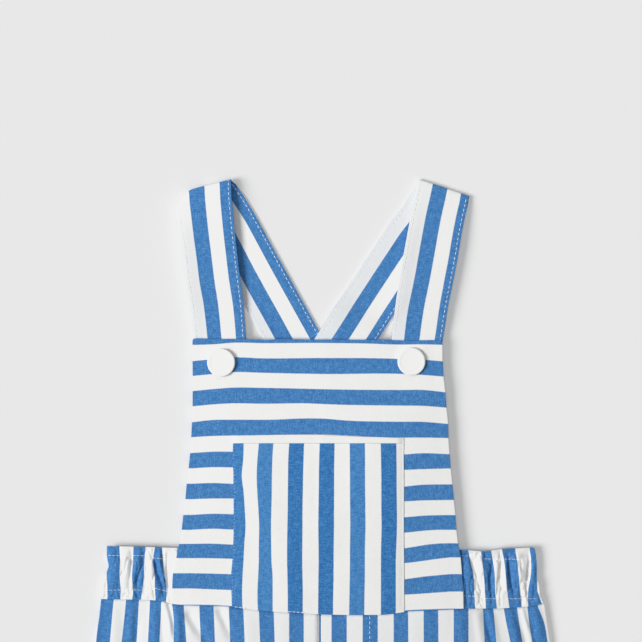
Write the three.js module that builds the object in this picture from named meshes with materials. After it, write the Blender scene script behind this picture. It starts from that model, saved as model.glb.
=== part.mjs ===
// Kids' bib overalls laid flat on a table with the front up, every cut piece a closed cloth wall.
// Millimetres. +X is the picture's right, +Y points to the shoulder straps, +Z is up from the table.
// The origin is on the table under the middle of the waist.
import * as THREE from 'three';

// Cloth thicknesses and the space kept between pieces
const CLOTH = 1.2;
const STRAP_CLOTH = 1.5;
const BAND_CLOTH = 1.6;
const SEAM_GAP = 0.3;
const WAIST_SEAM_GAP = 0.45;

// Heights above the table
const BACK_TOP = CLOTH;
const BACK_BAND_THIN = 1.6;
const GATHER_RISE = 0.4;
const FRONT_BAND_UNDERSIDE = BACK_BAND_THIN + GATHER_RISE + SEAM_GAP;
const STRAP_LOW = STRAP_CLOTH / 2;
const STRAP_CROSSING = STRAP_LOW + STRAP_CLOTH + SEAM_GAP;
const STRAP_ON_BAND = FRONT_BAND_UNDERSIDE + STRAP_CLOTH / 2;
const STRAP_HIGH = 3.55;
const BIB_UNDERSIDE = 4.6;
const POCKET_ON_BIB = CLOTH + SEAM_GAP;

// Trousers
const CROTCH_Y = -208;
const HEM_Y = -570;
const LEG_EDGE_UNDERSIDE = BACK_TOP + SEAM_GAP;
const LEG_MIDDLE_UNDERSIDE = 3.6;
const LEG_ROUNDING = 35;
const CROTCH_LIFT = 1.6;
const CROTCH_LIFT_LENGTH = 40;
const HIP_SPREAD = 75;
const SEAM_FOLLOW = 60;
const FLY_EDGE_X = 0.6;
const FLY_LAP = 6;
const FLY_STEP = CLOTH + SEAM_GAP;
const FLY_STEP_WIDTH = 8.4;
const FLY_STEP_END = 12;

// Waistband
const BAND_TOP_Y = 39.2;
const BACK_BAND_FOOT_Y = -3;
const BAND_FOOT_SLOPE = 11;
const BAND_TUCK_X = 88;
const BAND_FULL_X = 114;
const BIB_CORNER_X = 92;

// Bib: how far its side edges sink where nothing lies under them, and its shallow ripples
const BIB_EDGE_DROP = 0.6;
const BIB_SIDE = { from: 58, to: 84 };
const BIB_HOLLOW = { top: 142, bottom: 48, slope: 20 };
const BIB_RIPPLE = { height: 0.12, lengthX: 19, lengthY: 24, startX: 0.6, startY: 1.1 };

// Pocket
const POCKET_TOP_BAND_WIDTH = 4.4;
const POCKET_BAND_CLOTH = 1.6;

// Buttons
const BUTTON_RADIUS = 9.1;
const BUTTON_THICKNESS = 2.3;
const BUTTON_RIM = 1.5;
const BUTTON_DISH = 0.4;
const BUTTON_CHAMFER = 0.7;
const BUTTON_SEGMENTS = 36;
const BUTTON_PLACES = [
  { name: 'button_left', x: -64.3, y: 160.5 },
  { name: 'button_right', x: 59.5, y: 161.2 },
];

// Waist seam under the bib and the waistband: x, y
const WAIST_SEAM = [
  [-142.7, 6.4], [-111.1, 5.8], [-102.0, 4.8], [-96.7, 3.4], [-90.0, 2.6], [-78.4, 2.4],
  [-60.5, 1.9], [-52.3, 0.6], [-40.5, -0.9], [-20.9, -2.2], [-0.7, -3.3], [17.6, -3.8],
  [39.2, -3.7], [48.4, -2.9], [56.9, -1.5], [71.9, -0.8], [93.5, 0.1], [117.6, 0.2],
  [137.3, 1.5], [146.1, 3.3],
];

// Bib, one row per section from the top edge down: left x, left y, right x, right y
const BIB_SECTIONS = [
  [-83.0, 175.5, 79.7, 174.5],
  [-83.0, 162.1, 79.9, 162.1],
  [-82.9, 151.6, 80.4, 151.6],
  [-82.9, 141.2, 81.7, 141.2],
  [-83.0, 131.4, 82.4, 131.4],
  [-83.4, 121.6, 83.5, 120.9],
  [-83.9, 111.8, 83.7, 111.1],
  [-84.6, 101.3, 84.4, 100.7],
  [-85.6, 91.5, 85.2, 91.5],
  [-86.9, 81.0, 86.2, 81.0],
  [-87.7, 71.2, 87.3, 70.6],
  [-89.1, 60.8, 88.2, 60.8],
  [-90.1, 51.0, 88.9, 51.3],
  [-91.8, 41.8, 90.0, 42.5],
  [-93.7, 32.7, 91.6, 34.0],
  [-95.8, 23.5, 92.5, 22.2],
  [-96.4, 13.1, 93.3, 11.8],
];
const BIB_FOOT = [-96.9, 93.6];

// Pocket, one row per section from the hem down: left x, right x, y
const POCKET_SECTIONS = [
  [-56.6, 54.6, 107.8],
  [-57.0, 54.5, 98.0],
  [-56.4, 54.6, 88.0],
  [-56.3, 54.7, 74.0],
  [-56.6, 54.6, 60.0],
  [-56.8, 54.6, 46.0],
  [-56.7, 54.7, 32.0],
  [-57.6, 54.8, 18.0],
  [-57.8, 54.8, 10.0],
];
const POCKET_FOOT = [-57.5, 54.9];

// Upper edge of the pocket's top band: x, y
const POCKET_TOP = [[-56.6, 112.7], [-26.1, 113.5], [0.0, 113.5], [19.6, 112.5], [54.6, 111.5]];

// Trouser outline below the waist: y, left outer x, right outer x, inner leg distance from the middle
const LEG_SECTIONS = [
  [-6, -144.0, 147.0, 0],
  [-14, -145.4, 148.2, 0],
  [-22, -146.2, 149.2, 0],
  [-34, -147.6, 150.4, 0],
  [-48, -149.3, 152.0, 0],
  [-64, -151.2, 153.8, 0],
  [-84, -153.3, 155.8, 0],
  [-108, -155.2, 157.6, 0],
  [-134, -156.4, 158.6, 0],
  [-160, -156.6, 158.8, 0],
  [-184, -156.2, 158.3, 0],
  [-203, -155.4, 157.4, 0],
  [-210, -155.0, 157.0, 1.2],
  [-222, -154.4, 156.3, 3.0],
  [-245, -153.0, 154.8, 5.4],
  [-280, -150.8, 152.6, 7.8],
  [-320, -148.6, 150.4, 9.6],
  [-365, -146.4, 148.2, 11.0],
  [-410, -144.6, 146.4, 12.0],
  [-455, -143.0, 144.8, 12.8],
  [-500, -141.6, 143.4, 13.4],
  [-535, -140.6, 142.4, 13.8],
  [HEM_Y, -139.8, 141.6, 14.0],
];

// Largest folds of the trouser fronts: start x, start y, end x, end y, half width, height of the ridge
const LEG_FOLDS = [
  [-134, 2, -137, -34, 4.5, 0.7],
  [-117, 2, -118, -46, 5.0, -0.7],
  [-103, 3, -104, -52, 5.5, -0.9],
  [-95, 3, -97, -44, 4.0, 0.8],
  [-86, -4, -75, -22, 6.0, 0.5],
  [-69, 0, -58, -26, 6.0, 0.6],
  [106, 0, 113, -40, 4.5, -0.9],
  [97, 0, 104, -46, 5.0, 0.8],
  [121, 0, 126, -44, 5.0, 0.7],
  [134, 1, 139, -36, 4.5, -0.6],
  [-120, -180, -40, -196, 14, 0.6],
  [40, -192, 118, -178, 14, 0.7],
  [-30, -170, -60, -120, 12, -0.5],
  [34, -166, 70, -112, 12, -0.5],
  [-118, -330, -42, -352, 12, 0.6],
  [36, -346, 112, -322, 12, 0.6],
];

// Creases between the gathers of the elastic: x at the top edge, x at the bottom edge
const LEFT_GATHERS = [
  [-141, -144], [-131, -133], [-123.5, -124.5], [-117.5, -119.0], [-112.5, -113.5],
  [-104.5, -102.5], [-99.0, -99.5], [-92, -92], [-86, -86],
];
const RIGHT_GATHERS = [
  [86, 86], [93.5, 95.5], [100.0, 103.0], [106.5, 110.0], [113.0, 117.0], [119.5, 124.5],
  [126.5, 131.0], [133.5, 138.0], [143, 147],
];
const BACK_GATHERS = [
  [-144, -145], [-133, -135], [-124, -123], [-113, -115], [-103, -102], [-94, -96], [-83, -82],
  [-74, -76], [-65, -64], [-54, -55], [-45, -43], [-35, -36], [-24, -25], [-15, -13], [-5, -6],
  [6, 5], [15, 17], [26, 25], [35, 36], [46, 44], [55, 57], [65, 64], [76, 77], [85, 84],
  [95, 97], [106, 105], [115, 117], [126, 125], [136, 137], [146, 148],
];

// Outer edges of the waistband: y, left x, right x
const BAND_EDGES = [
  [39.2, -138.9, 139.9], [34.6, -139.4, 140.5], [27, -140.2, 140.8], [19.6, -140.0, 141.2],
  [15.7, -140.9, 142.7], [8.8, -141.4, 143.1], [3.4, -142.3, 145.6],
];

// Left strap, front stretch from its end behind the bib up to the shoulder:
// left x, left y, right x, right y, height of the cloth's middle
const STRAP_LEFT_FRONT = [
  [-79.7, 145.8, -45.8, 145.8, STRAP_HIGH],
  [-81.0, 160.8, -46.9, 160.8, STRAP_HIGH],
  [-82.1, 176.5, -48.4, 176.5, STRAP_HIGH],
  [-83.5, 188.9, -49.2, 188.9, STRAP_HIGH],
  [-84.8, 200.7, -50.1, 200.7, STRAP_HIGH],
  [-86.9, 211.8, -51.6, 211.8, STRAP_HIGH],
  [-88.4, 226.1, -53.3, 226.1, STRAP_HIGH],
  [-90.5, 243.1, -55.0, 243.1, STRAP_HIGH],
  [-92.4, 256.5, -56.8, 258.6, STRAP_HIGH],
  [-93.3, 262.7, -57.8, 270.0, STRAP_HIGH],
];
const STRAP_LEFT_FOLD = [-93.5, 268.3, -55.5, 279.9];
// Left strap, back stretch from the shoulder down to the back of the waistband
const STRAP_LEFT_BACK = [
  [-90.5, 262.0, -51.6, 275.8, STRAP_LOW],
  [-81.0, 251.0, -45.4, 267.0, STRAP_LOW],
  [-71.1, 239.4, -40.1, 256.3, STRAP_LOW],
  [-56.1, 209.7, -25.0, 227.0, STRAP_LOW],
  [-41.0, 182.9, -10.0, 200.7, STRAP_LOW],
  [-27.5, 157.8, 3.5, 176.1, STRAP_LOW],
  [-9.9, 126.8, 20.5, 144.6, STRAP_LOW],
  [6.1, 97.4, 36.5, 115.0, STRAP_LOW],
  [21.9, 68.0, 52.4, 85.6, STRAP_LOW],
  [29.0, 54.0, 60.2, 70.0, 2.1],
  [35.9, 41.0, 67.3, 54.2, STRAP_ON_BAND],
  [42.5, 20.3, 79.5, 27.5, STRAP_ON_BAND],
];

// Right strap, front stretch
const STRAP_RIGHT_FRONT = [
  [42.5, 145.8, 74.5, 145.8, STRAP_HIGH],
  [44.8, 160.8, 77.1, 160.8, STRAP_HIGH],
  [46.9, 176.5, 80.3, 176.5, STRAP_HIGH],
  [48.8, 196.1, 83.6, 196.1, STRAP_HIGH],
  [51.2, 211.8, 86.7, 210.5, STRAP_HIGH],
  [54.0, 228.8, 90.1, 227.5, STRAP_HIGH],
  [56.7, 243.1, 92.8, 243.1, STRAP_HIGH],
  [59.5, 258.2, 95.4, 256.0, STRAP_HIGH],
  [62.7, 271.9, 97.1, 263.5, STRAP_HIGH],
];
const STRAP_RIGHT_FOLD = [64.7, 280.5, 97.7, 269.3];
// Right strap, back stretch, which rises over the left strap where they cross
const STRAP_RIGHT_BACK = [
  [62.4, 275.9, 94.4, 262.0, STRAP_LOW],
  [54.1, 262.3, 86.3, 245.8, STRAP_LOW],
  [45.0, 251.0, 75.5, 232.7, STRAP_LOW],
  [32.3, 231.5, 61.6, 212.4, STRAP_LOW],
  [15.0, 205.2, 44.4, 186.1, STRAP_LOW],
  [7.5, 193.2, 36.9, 174.1, STRAP_CROSSING],
  [-3.5, 176.1, 25.8, 157.0, STRAP_CROSSING],
  [-17.3, 154.8, 12.0, 135.8, STRAP_CROSSING],
  [-31.4, 133.3, -2.0, 114.2, STRAP_CROSSING],
  [-38.4, 122.6, -9.0, 103.5, STRAP_CROSSING],
  [-49.9, 104.9, -20.6, 85.8, STRAP_LOW],
  [-59.5, 90.2, -30.1, 71.1, STRAP_LOW],
  [-70.6, 69.9, -38.6, 54.9, 1.2],
  [-79.1, 51.0, -44.4, 41.2, STRAP_ON_BAND],
  [-84.6, 21.6, -48.4, 18.3, STRAP_ON_BAND],
];
const STRAP_COLUMNS = 4;
const FOLD_STEPS = 8;

const STRIPED_COTTON = { colour: '#5b93c9', roughness: 0.9 };
const PLAIN_COTTON = { colour: '#eeeeec', roughness: 0.9 };
const BUTTON_PLASTIC = { colour: '#f2f2ee', roughness: 0.4 };

function mix(a, b, share) {
  return a + (b - a) * share;
}

// Rises smoothly from 0 at the first value to 1 at the second
function ease(from, to, value) {
  const share = Math.min(1, Math.max(0, (value - from) / (to - from)));
  return share * share * (3 - 2 * share);
}

// The value in the given column of a table, between the rows whose first column encloses the key
function lookUp(table, key, column = 1) {
  const rising = table[table.length - 1][0] > table[0][0];
  const rows = rising ? table : [...table].reverse();
  if (key <= rows[0][0]) return rows[0][column];
  for (let i = 1; i < rows.length; i += 1) {
    const [low, high] = [rows[i - 1], rows[i]];
    if (key <= high[0]) return mix(low[column], high[column], (key - low[0]) / (high[0] - low[0]));
  }
  return rows[rows.length - 1][column];
}

const seamY = (x) => lookUp(WAIST_SEAM, x);

// A closed wall between two grids of points, the upper face and the lower face
function clothWall(name, upper, lower, cloth) {
  const rows = upper.length;
  const columns = upper[0].length;
  const points = [...upper.flat(), ...lower.flat()];
  const at = (face, row, column) => face * rows * columns + row * columns + column;
  const triangles = [];
  const quad = (a, b, c, d) => triangles.push(a, b, c, a, c, d);
  for (let r = 0; r < rows - 1; r += 1) {
    for (let c = 0; c < columns - 1; c += 1) {
      quad(at(0, r, c), at(0, r + 1, c), at(0, r + 1, c + 1), at(0, r, c + 1));
      quad(at(1, r, c), at(1, r, c + 1), at(1, r + 1, c + 1), at(1, r + 1, c));
    }
    quad(at(0, r, 0), at(1, r, 0), at(1, r + 1, 0), at(0, r + 1, 0));
    const last = columns - 1;
    quad(at(0, r, last), at(0, r + 1, last), at(1, r + 1, last), at(1, r, last));
  }
  for (let c = 0; c < columns - 1; c += 1) {
    quad(at(0, 0, c), at(0, 0, c + 1), at(1, 0, c + 1), at(1, 0, c));
    const last = rows - 1;
    quad(at(0, last, c), at(1, last, c), at(1, last, c + 1), at(0, last, c + 1));
  }
  const geometry = new THREE.BufferGeometry();
  geometry.setAttribute('position', new THREE.Float32BufferAttribute(points.flat(), 3));
  geometry.setIndex(triangles);
  geometry.computeVertexNormals();
  return namedMesh(name, geometry, cloth);
}

function namedMesh(name, geometry, look) {
  const material = new THREE.MeshStandardMaterial({
    color: look.colour, roughness: look.roughness, metalness: 0,
  });
  const mesh = new THREE.Mesh(geometry, material);
  mesh.name = name;
  return mesh;
}

// A panel that lies on the table: plan holds rows of [x, y] from the top edge down, each from left to
// right, and the two functions give its underside and its thickness at a place
function layPanel(name, plan, underside, thickness, cloth) {
  const lower = plan.map((row) => row.map(([x, y]) => [x, y, underside(x, y)]));
  const upper = lower.map((row) => row.map(([x, y, z]) => [x, y, z + thickness(x, y)]));
  return clothWall(name, upper, lower, cloth);
}

// Rows of points spread evenly between a left and a right end
function spread(left, right, columns) {
  return Array.from({ length: columns + 1 }, (_, i) => [
    mix(left[0], right[0], i / columns), mix(left[1], right[1], i / columns),
  ]);
}

// A fold is at full height over the middle of its line and fades out beyond both ends, in shares of it
const FOLD_START = [-0.25, 0.15];
const FOLD_END = [1.3, 0.6];
const FOLD_SIDE_FADE = 8;

// Height that the table of folds adds at a place, each fold a soft ridge along its own line
function foldHeight(folds, x, y) {
  return folds.reduce((sum, [x0, y0, x1, y1, halfWidth, height]) => {
    const [dx, dy] = [x1 - x0, y1 - y0];
    const along = ((x - x0) * dx + (y - y0) * dy) / (dx * dx + dy * dy);
    const aside = Math.abs((x - x0) * dy - (y - y0) * dx) / Math.hypot(dx, dy);
    const across = ease(halfWidth, 0, aside);
    const fade = ease(...FOLD_START, along) * ease(...FOLD_END, along);
    return sum + height * across * fade;
  }, 0);
}

// Bib and pocket
const BIB_COLUMNS = 18;

function bibUnderside(x, y) {
  const side = ease(BIB_SIDE.from, BIB_SIDE.to, Math.abs(x));
  const { top, bottom, slope } = BIB_HOLLOW;
  const nothingBeneath = ease(top, top - slope, y) * ease(bottom, bottom + slope, y);
  const { height, lengthX, lengthY, startX, startY } = BIB_RIPPLE;
  const ripple = height * Math.sin(x / lengthX + startX) * Math.sin(y / lengthY + startY);
  return BIB_UNDERSIDE + height + ripple * ease(0, slope, y) - BIB_EDGE_DROP * side * nothingBeneath;
}

function bibPlan() {
  const rows = BIB_SECTIONS.map(([x0, y0, x1, y1]) => spread([x0, y0], [x1, y1], BIB_COLUMNS));
  const [left, right] = BIB_FOOT;
  const foot = spread([left, 0], [right, 0], BIB_COLUMNS);
  return [...rows, foot.map(([x]) => [x, seamY(x) + WAIST_SEAM_GAP / 2])];
}

const POCKET_COLUMNS = 12;
const pocketUnderside = (x, y) => bibUnderside(x, y) + POCKET_ON_BIB;

function pocketPlan() {
  const rows = POCKET_SECTIONS.map(([left, right, y]) => spread([left, y], [right, y], POCKET_COLUMNS));
  const [left, right] = POCKET_FOOT;
  const foot = spread([left, 0], [right, 0], POCKET_COLUMNS);
  return [...rows, foot.map(([x]) => [x, seamY(x) + WAIST_SEAM_GAP / 2])];
}

function pocketBandPlan() {
  const [left, right, hem] = POCKET_SECTIONS[0];
  const foot = spread([left, hem + SEAM_GAP], [right, hem + SEAM_GAP], POCKET_COLUMNS);
  const top = foot.map(([x, y]) => [x, Math.max(lookUp(POCKET_TOP, x), y + POCKET_TOP_BAND_WIDTH / 2)]);
  const middle = foot.map(([x, y], i) => [x, mix(top[i][1], y, 0.5)]);
  return [top, middle, foot];
}

// Trousers
const FRONT_LEG_COLUMNS = 17;
const BACK_LEG_COLUMNS = 8;
const LEFT = -1;
const RIGHT = 1;

const outerX = (side, y) => lookUp(LEG_SECTIONS, y, side === LEFT ? 1 : 2);
const innerReach = (y) => lookUp(LEG_SECTIONS, y, 3);

// Underside of the trouser fronts: high at the bib's seam, low at the side seams, gently arched between
function frontUnderside(side, x, y) {
  const reach = Math.abs(x);
  const outside = Math.abs(outerX(side, y)) - reach;
  const inside = y < CROTCH_Y ? reach - innerReach(y) : Math.hypot(reach, y - CROTCH_Y);
  const lift = ease(CROTCH_Y - CROTCH_LIFT_LENGTH, CROTCH_Y, y);
  const innerEdge = LEG_EDGE_UNDERSIDE + CROTCH_LIFT * lift;
  const leg = Math.min(
    mix(LEG_EDGE_UNDERSIDE, LEG_MIDDLE_UNDERSIDE, ease(0, LEG_ROUNDING, outside)),
    mix(innerEdge, LEG_MIDDLE_UNDERSIDE, ease(0, LEG_ROUNDING, inside)),
  );
  const waist = mix(BIB_UNDERSIDE, FRONT_BAND_UNDERSIDE, ease(BIB_CORNER_X, BAND_FULL_X, reach));
  const fold = foldHeight(LEG_FOLDS, x, y) * ease(0, FOLD_SIDE_FADE, outside);
  const height = mix(leg, waist, ease(-HIP_SPREAD, 0, y)) + fold;
  const bandFoot = BACK_BAND_FOOT_Y - 2;
  const beneath = ease(bandFoot - BAND_FOOT_SLOPE, bandFoot, y);
  return Math.max(height, mix(LEG_EDGE_UNDERSIDE, FRONT_BAND_UNDERSIDE, beneath));
}

function leftUnderside(x, y) {
  const aside = ease(-FLY_EDGE_X - FLY_STEP_WIDTH, -FLY_EDGE_X, x);
  const lapped = FLY_STEP * aside * ease(CROTCH_Y - 2 - FLY_STEP_END, CROTCH_Y - 2, y);
  return frontUnderside(LEFT, Math.min(x, 0), y) - lapped;
}

const rightUnderside = (x, y) => frontUnderside(RIGHT, x, y);

// Rows of a trouser front; the left one runs under the right one at the fly
function frontLegPlan(side) {
  const edge = (y, reach) => {
    if (side === RIGHT) return Math.max(FLY_EDGE_X, reach);
    return y > CROTCH_Y + SEAM_GAP ? FLY_EDGE_X + FLY_LAP : -Math.max(reach, SEAM_GAP);
  };
  const row = (y, outer, inner) => (side === LEFT
    ? spread([outer, y], [inner, y], FRONT_LEG_COLUMNS)
    : spread([inner, y], [outer, y], FRONT_LEG_COLUMNS));
  const waistOuter = side === LEFT ? WAIST_SEAM[0][0] : WAIST_SEAM[WAIST_SEAM.length - 1][0];
  const waist = row(0, waistOuter, edge(0, 0)).map(([x]) => [x, seamY(x) - WAIST_SEAM_GAP / 2]);
  const below = LEG_SECTIONS.map((section) => {
    const [y, leftOuter, rightOuter, reach] = section;
    const follow = ease(-SEAM_FOLLOW, 0, y);
    return row(y, side === LEFT ? leftOuter : rightOuter, edge(y, reach))
      .map(([x, level]) => [x, level + follow * seamY(x)]);
  });
  return [waist, ...below];
}

// The trouser backs lie flat on the table and meet at the centre back
function backLegPlan(side) {
  const row = (y, outer, reach) => {
    const inner = side * Math.max(reach, SEAM_GAP / 2);
    const ends = side === LEFT ? [[outer, y], [inner, y]] : [[inner, y], [outer, y]];
    return spread(ends[0], ends[1], BACK_LEG_COLUMNS);
  };
  const waistOuter = side === LEFT ? WAIST_SEAM[0][0] : WAIST_SEAM[WAIST_SEAM.length - 1][0];
  const waist = row(BACK_BAND_FOOT_Y - SEAM_GAP, waistOuter, 0);
  return [waist, ...LEG_SECTIONS.map((section) => row(section[0], outerX(side, section[0]), section[3]))];
}

// Elastic waistband

// Rise of the cloth between two creases of the gathers, slanting with them from the top edge down
function gatherRise(creases, x, down) {
  const places = creases.map(([top, bottom]) => mix(top, bottom, down));
  for (let i = 1; i < places.length; i += 1) {
    if (x <= places[i]) {
      const share = Math.max(0, (x - places[i - 1]) / (places[i] - places[i - 1]));
      return 4 * share * (1 - share);
    }
  }
  return 0;
}

// Columns on each crease and at the top of each gather between two ends
function gatherColumns(creases, down, from, to) {
  const places = creases.map(([top, bottom]) => mix(top, bottom, down));
  const inner = places.flatMap((x, i) => (i ? [mix(places[i - 1], x, 0.5), x] : [x]));
  return [from, ...inner.slice(2, -2), to];
}

function bandRows(creases, ends, foot, levels) {
  return levels.map((down) => {
    const edgeY = mix(BAND_TOP_Y, foot(0), down);
    const [from, to] = ends(edgeY);
    return gatherColumns(creases, down, from, to)
      .map((x) => [x, mix(BAND_TOP_Y, foot(x), down)]);
  });
}

const BAND_LEVELS = [0, 0.12, 0.28, 0.5, 0.72, 0.88, 1];

function frontBand(side) {
  const creases = side === LEFT ? LEFT_GATHERS : RIGHT_GATHERS;
  const foot = (x) => seamY(x || side * BAND_FULL_X) + WAIST_SEAM_GAP / 2;
  const ends = (y) => (side === LEFT
    ? [lookUp(BAND_EDGES, y, 1), -BAND_TUCK_X]
    : [BAND_TUCK_X, lookUp(BAND_EDGES, y, 2)]);
  const plan = bandRows(creases, ends, foot, BAND_LEVELS);
  const down = (x, y) => (BAND_TOP_Y - y) / (BAND_TOP_Y - foot(x));
  const thickness = (x, y) => BAND_CLOTH + GATHER_RISE * gatherRise(creases, x, down(x, y));
  const name = side === LEFT ? 'waistband_front_left' : 'waistband_front_right';
  return layPanel(name, plan, () => FRONT_BAND_UNDERSIDE, thickness, STRIPED_COTTON);
}

function backBand() {
  const foot = () => BACK_BAND_FOOT_Y;
  const ends = (y) => [lookUp(BAND_EDGES, y, 1), lookUp(BAND_EDGES, y, 2)];
  const plan = bandRows(BACK_GATHERS, ends, foot, [0, 0.2, 0.5, 0.8, 1]);
  const down = (y) => (BAND_TOP_Y - y) / (BAND_TOP_Y - BACK_BAND_FOOT_Y);
  const thickness = (x, y) => BACK_BAND_THIN + GATHER_RISE * gatherRise(BACK_GATHERS, x, down(y));
  return layPanel('waistband_back', plan, () => 0, thickness, STRIPED_COTTON);
}

// Straps

// The shoulder fold turns half a circle about its own line, from the front stretch to the back stretch
function foldRows([x0, y0, x1, y1]) {
  const length = Math.hypot(x1 - x0, y1 - y0);
  const away = [-(y1 - y0) / length, (x1 - x0) / length];
  const radius = (STRAP_HIGH - STRAP_LOW) / 2;
  const back = radius + STRAP_CLOTH / 2;
  return Array.from({ length: FOLD_STEPS + 1 }, (_, i) => {
    const angle = Math.PI * (0.5 - i / FOLD_STEPS);
    const shift = radius * Math.cos(angle) - back;
    return [
      x0 + away[0] * shift, y0 + away[1] * shift, x1 + away[0] * shift, y1 + away[1] * shift,
      STRAP_LOW + radius * (1 + Math.sin(angle)),
    ];
  });
}

// A ribbon along rows of [left x, left y, right x, right y, z], half its thickness to either side
function strap(name, front, fold, back) {
  const rows = [...front, ...foldRows(fold), ...back];
  const middle = rows.map(([x0, y0, x1, y1, z]) => (
    spread([x0, y0], [x1, y1], STRAP_COLUMNS).map(([x, y]) => new THREE.Vector3(x, y, z))));
  const faces = [-1, 1].map((sign) => middle.map((row, r) => row.map((point, c) => {
    const before = middle[Math.max(0, r - 1)][c];
    const after = middle[Math.min(rows.length - 1, r + 1)][c];
    const across = row[STRAP_COLUMNS].clone().sub(row[0]);
    const out = across.cross(after.clone().sub(before)).normalize();
    return point.clone().addScaledVector(out, (sign * STRAP_CLOTH) / 2).toArray();
  })));
  return clothWall(name, faces[0], faces[1], STRIPED_COTTON);
}

// Buttons: flat discs with a low rim, lying on the bib over the buttonholes
function button({ name, x, y }) {
  const inner = BUTTON_RADIUS - BUTTON_RIM;
  const face = BUTTON_THICKNESS - BUTTON_DISH;
  const profile = [
    [0, 0], [BUTTON_RADIUS - BUTTON_CHAMFER, 0], [BUTTON_RADIUS, BUTTON_CHAMFER],
    [BUTTON_RADIUS, BUTTON_THICKNESS - BUTTON_CHAMFER],
    [BUTTON_RADIUS - BUTTON_CHAMFER / 2, BUTTON_THICKNESS], [inner, BUTTON_THICKNESS], [inner - BUTTON_DISH, face], [0, face],
  ].map(([r, z]) => new THREE.Vector2(r, z));
  const geometry = new THREE.LatheGeometry(profile, BUTTON_SEGMENTS);
  geometry.rotateX(Math.PI / 2);
  const steps = [-BUTTON_RADIUS, 0, BUTTON_RADIUS];
  const highest = Math.max(...steps.flatMap((dx) => steps.map((dy) => bibUnderside(x + dx, y + dy))));
  geometry.translate(x, y, highest + CLOTH + SEAM_GAP);
  return namedMesh(name, geometry, BUTTON_PLASTIC);
}

const cloth = () => CLOTH;
const overalls = new THREE.Group();
overalls.name = 'bib_overalls';
overalls.add(
  layPanel('bib_front', bibPlan(), bibUnderside, cloth, STRIPED_COTTON),
  layPanel('bib_pocket', pocketPlan(), pocketUnderside, cloth, STRIPED_COTTON),
  layPanel('pocket_top_band', pocketBandPlan(), pocketUnderside, () => POCKET_BAND_CLOTH, PLAIN_COTTON),
  layPanel('front_left_leg', frontLegPlan(LEFT), leftUnderside, cloth, STRIPED_COTTON),
  layPanel('front_right_leg', frontLegPlan(RIGHT), rightUnderside, cloth, STRIPED_COTTON),
  layPanel('back_left_leg', backLegPlan(LEFT), () => 0, cloth, STRIPED_COTTON),
  layPanel('back_right_leg', backLegPlan(RIGHT), () => 0, cloth, STRIPED_COTTON),
  backBand(),
  frontBand(LEFT),
  frontBand(RIGHT),
  strap('strap_left', STRAP_LEFT_FRONT, STRAP_LEFT_FOLD, STRAP_LEFT_BACK),
  strap('strap_right', STRAP_RIGHT_FRONT, STRAP_RIGHT_FOLD, STRAP_RIGHT_BACK),
  ...BUTTON_PLACES.map(button),
);

export default overalls;
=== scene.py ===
# %% [markdown]
# # Striped bib overalls for a child, laid flat
#
# This lesson dresses a packed set of plain solids with real-looking cloth. The garment lies on a
# pale table, front up, and is seen from straight above. Every panel becomes a thin shell on the form
# of its solid, with the creases placed from short tables, and the stripes are woven into
# each panel from the panel's own cloth coordinates.
#
# All tables are in millimetres. +X is the picture's right, +Y points to the straps, +Z is up.

import bpy
import numpy as np
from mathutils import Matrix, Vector


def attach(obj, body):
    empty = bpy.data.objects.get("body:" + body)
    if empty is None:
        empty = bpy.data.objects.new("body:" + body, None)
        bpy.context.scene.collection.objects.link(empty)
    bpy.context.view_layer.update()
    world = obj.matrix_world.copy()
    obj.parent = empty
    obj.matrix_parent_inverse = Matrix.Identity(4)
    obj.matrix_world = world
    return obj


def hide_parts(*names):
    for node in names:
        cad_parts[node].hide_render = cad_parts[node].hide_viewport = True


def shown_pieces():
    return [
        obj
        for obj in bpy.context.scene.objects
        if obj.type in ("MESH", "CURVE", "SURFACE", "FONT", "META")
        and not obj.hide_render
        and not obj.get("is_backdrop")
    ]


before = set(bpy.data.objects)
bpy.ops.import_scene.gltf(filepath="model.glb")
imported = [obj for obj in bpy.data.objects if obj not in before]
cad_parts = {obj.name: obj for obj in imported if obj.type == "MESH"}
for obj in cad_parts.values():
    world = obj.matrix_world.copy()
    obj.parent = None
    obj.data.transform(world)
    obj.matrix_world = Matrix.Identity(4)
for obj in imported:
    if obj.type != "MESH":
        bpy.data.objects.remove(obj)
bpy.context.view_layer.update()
print("packed solids:", sorted(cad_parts))

# %% [markdown]
# ## Sizes
#
# The stripes are 10 mm wide, which sets the scale of everything else. Cloth thicknesses are those of
# a medium cotton twill: 0.6 mm for one layer, and about twice that where an edge is turned under.

# %% Named sizes
MM = 0.001
STRIPE_PAIR = 20.0  # one blue and one white stripe
CLOTH = 1.2  # a panel with its turnings, as in the solids
SHELL = 0.6  # one layer of the cloth
STRAP_CLOTH = 1.5
BAND_CLOTH = 1.6
SEAM_GAP = 0.3
EDGE_ROUNDING = 0.5
RIM_DROP = 0.1  # the share of a rim that rounds down from above; the rest rounds up from below
FLOOR_CLEARANCE = 0.02

# Heights above the table: undersides of the panels, and the middle of a strap's cloth
BIB_UNDERSIDE = 4.6
BAND_UNDERSIDE = 2.3
LEG_EDGE_UNDERSIDE = 1.5
LEG_MIDDLE_UNDERSIDE = 3.6
STRAP_LOW = STRAP_CLOTH / 2
STRAP_CROSSING = STRAP_LOW + STRAP_CLOTH + SEAM_GAP
STRAP_UNDER_BIB = 3.55
STRAP_ON_BAND = BAND_UNDERSIDE + STRAP_CLOTH / 2

# Places up and down the garment
BAND_TOP_Y = 39.2
BACK_BAND_FOOT_Y = -3.0
CROTCH_Y = -208.0
HEM_Y = -570.0
HEM_SEAM_Y = HEM_Y + 20.0

# %% [markdown]
# ## Small helpers
#
# `ease` rises smoothly from 0 to 1 and is used for every soft change of height. `ticks` gives
# distances across a panel that lie close together near its edges, where the cloth turns over.


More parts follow.
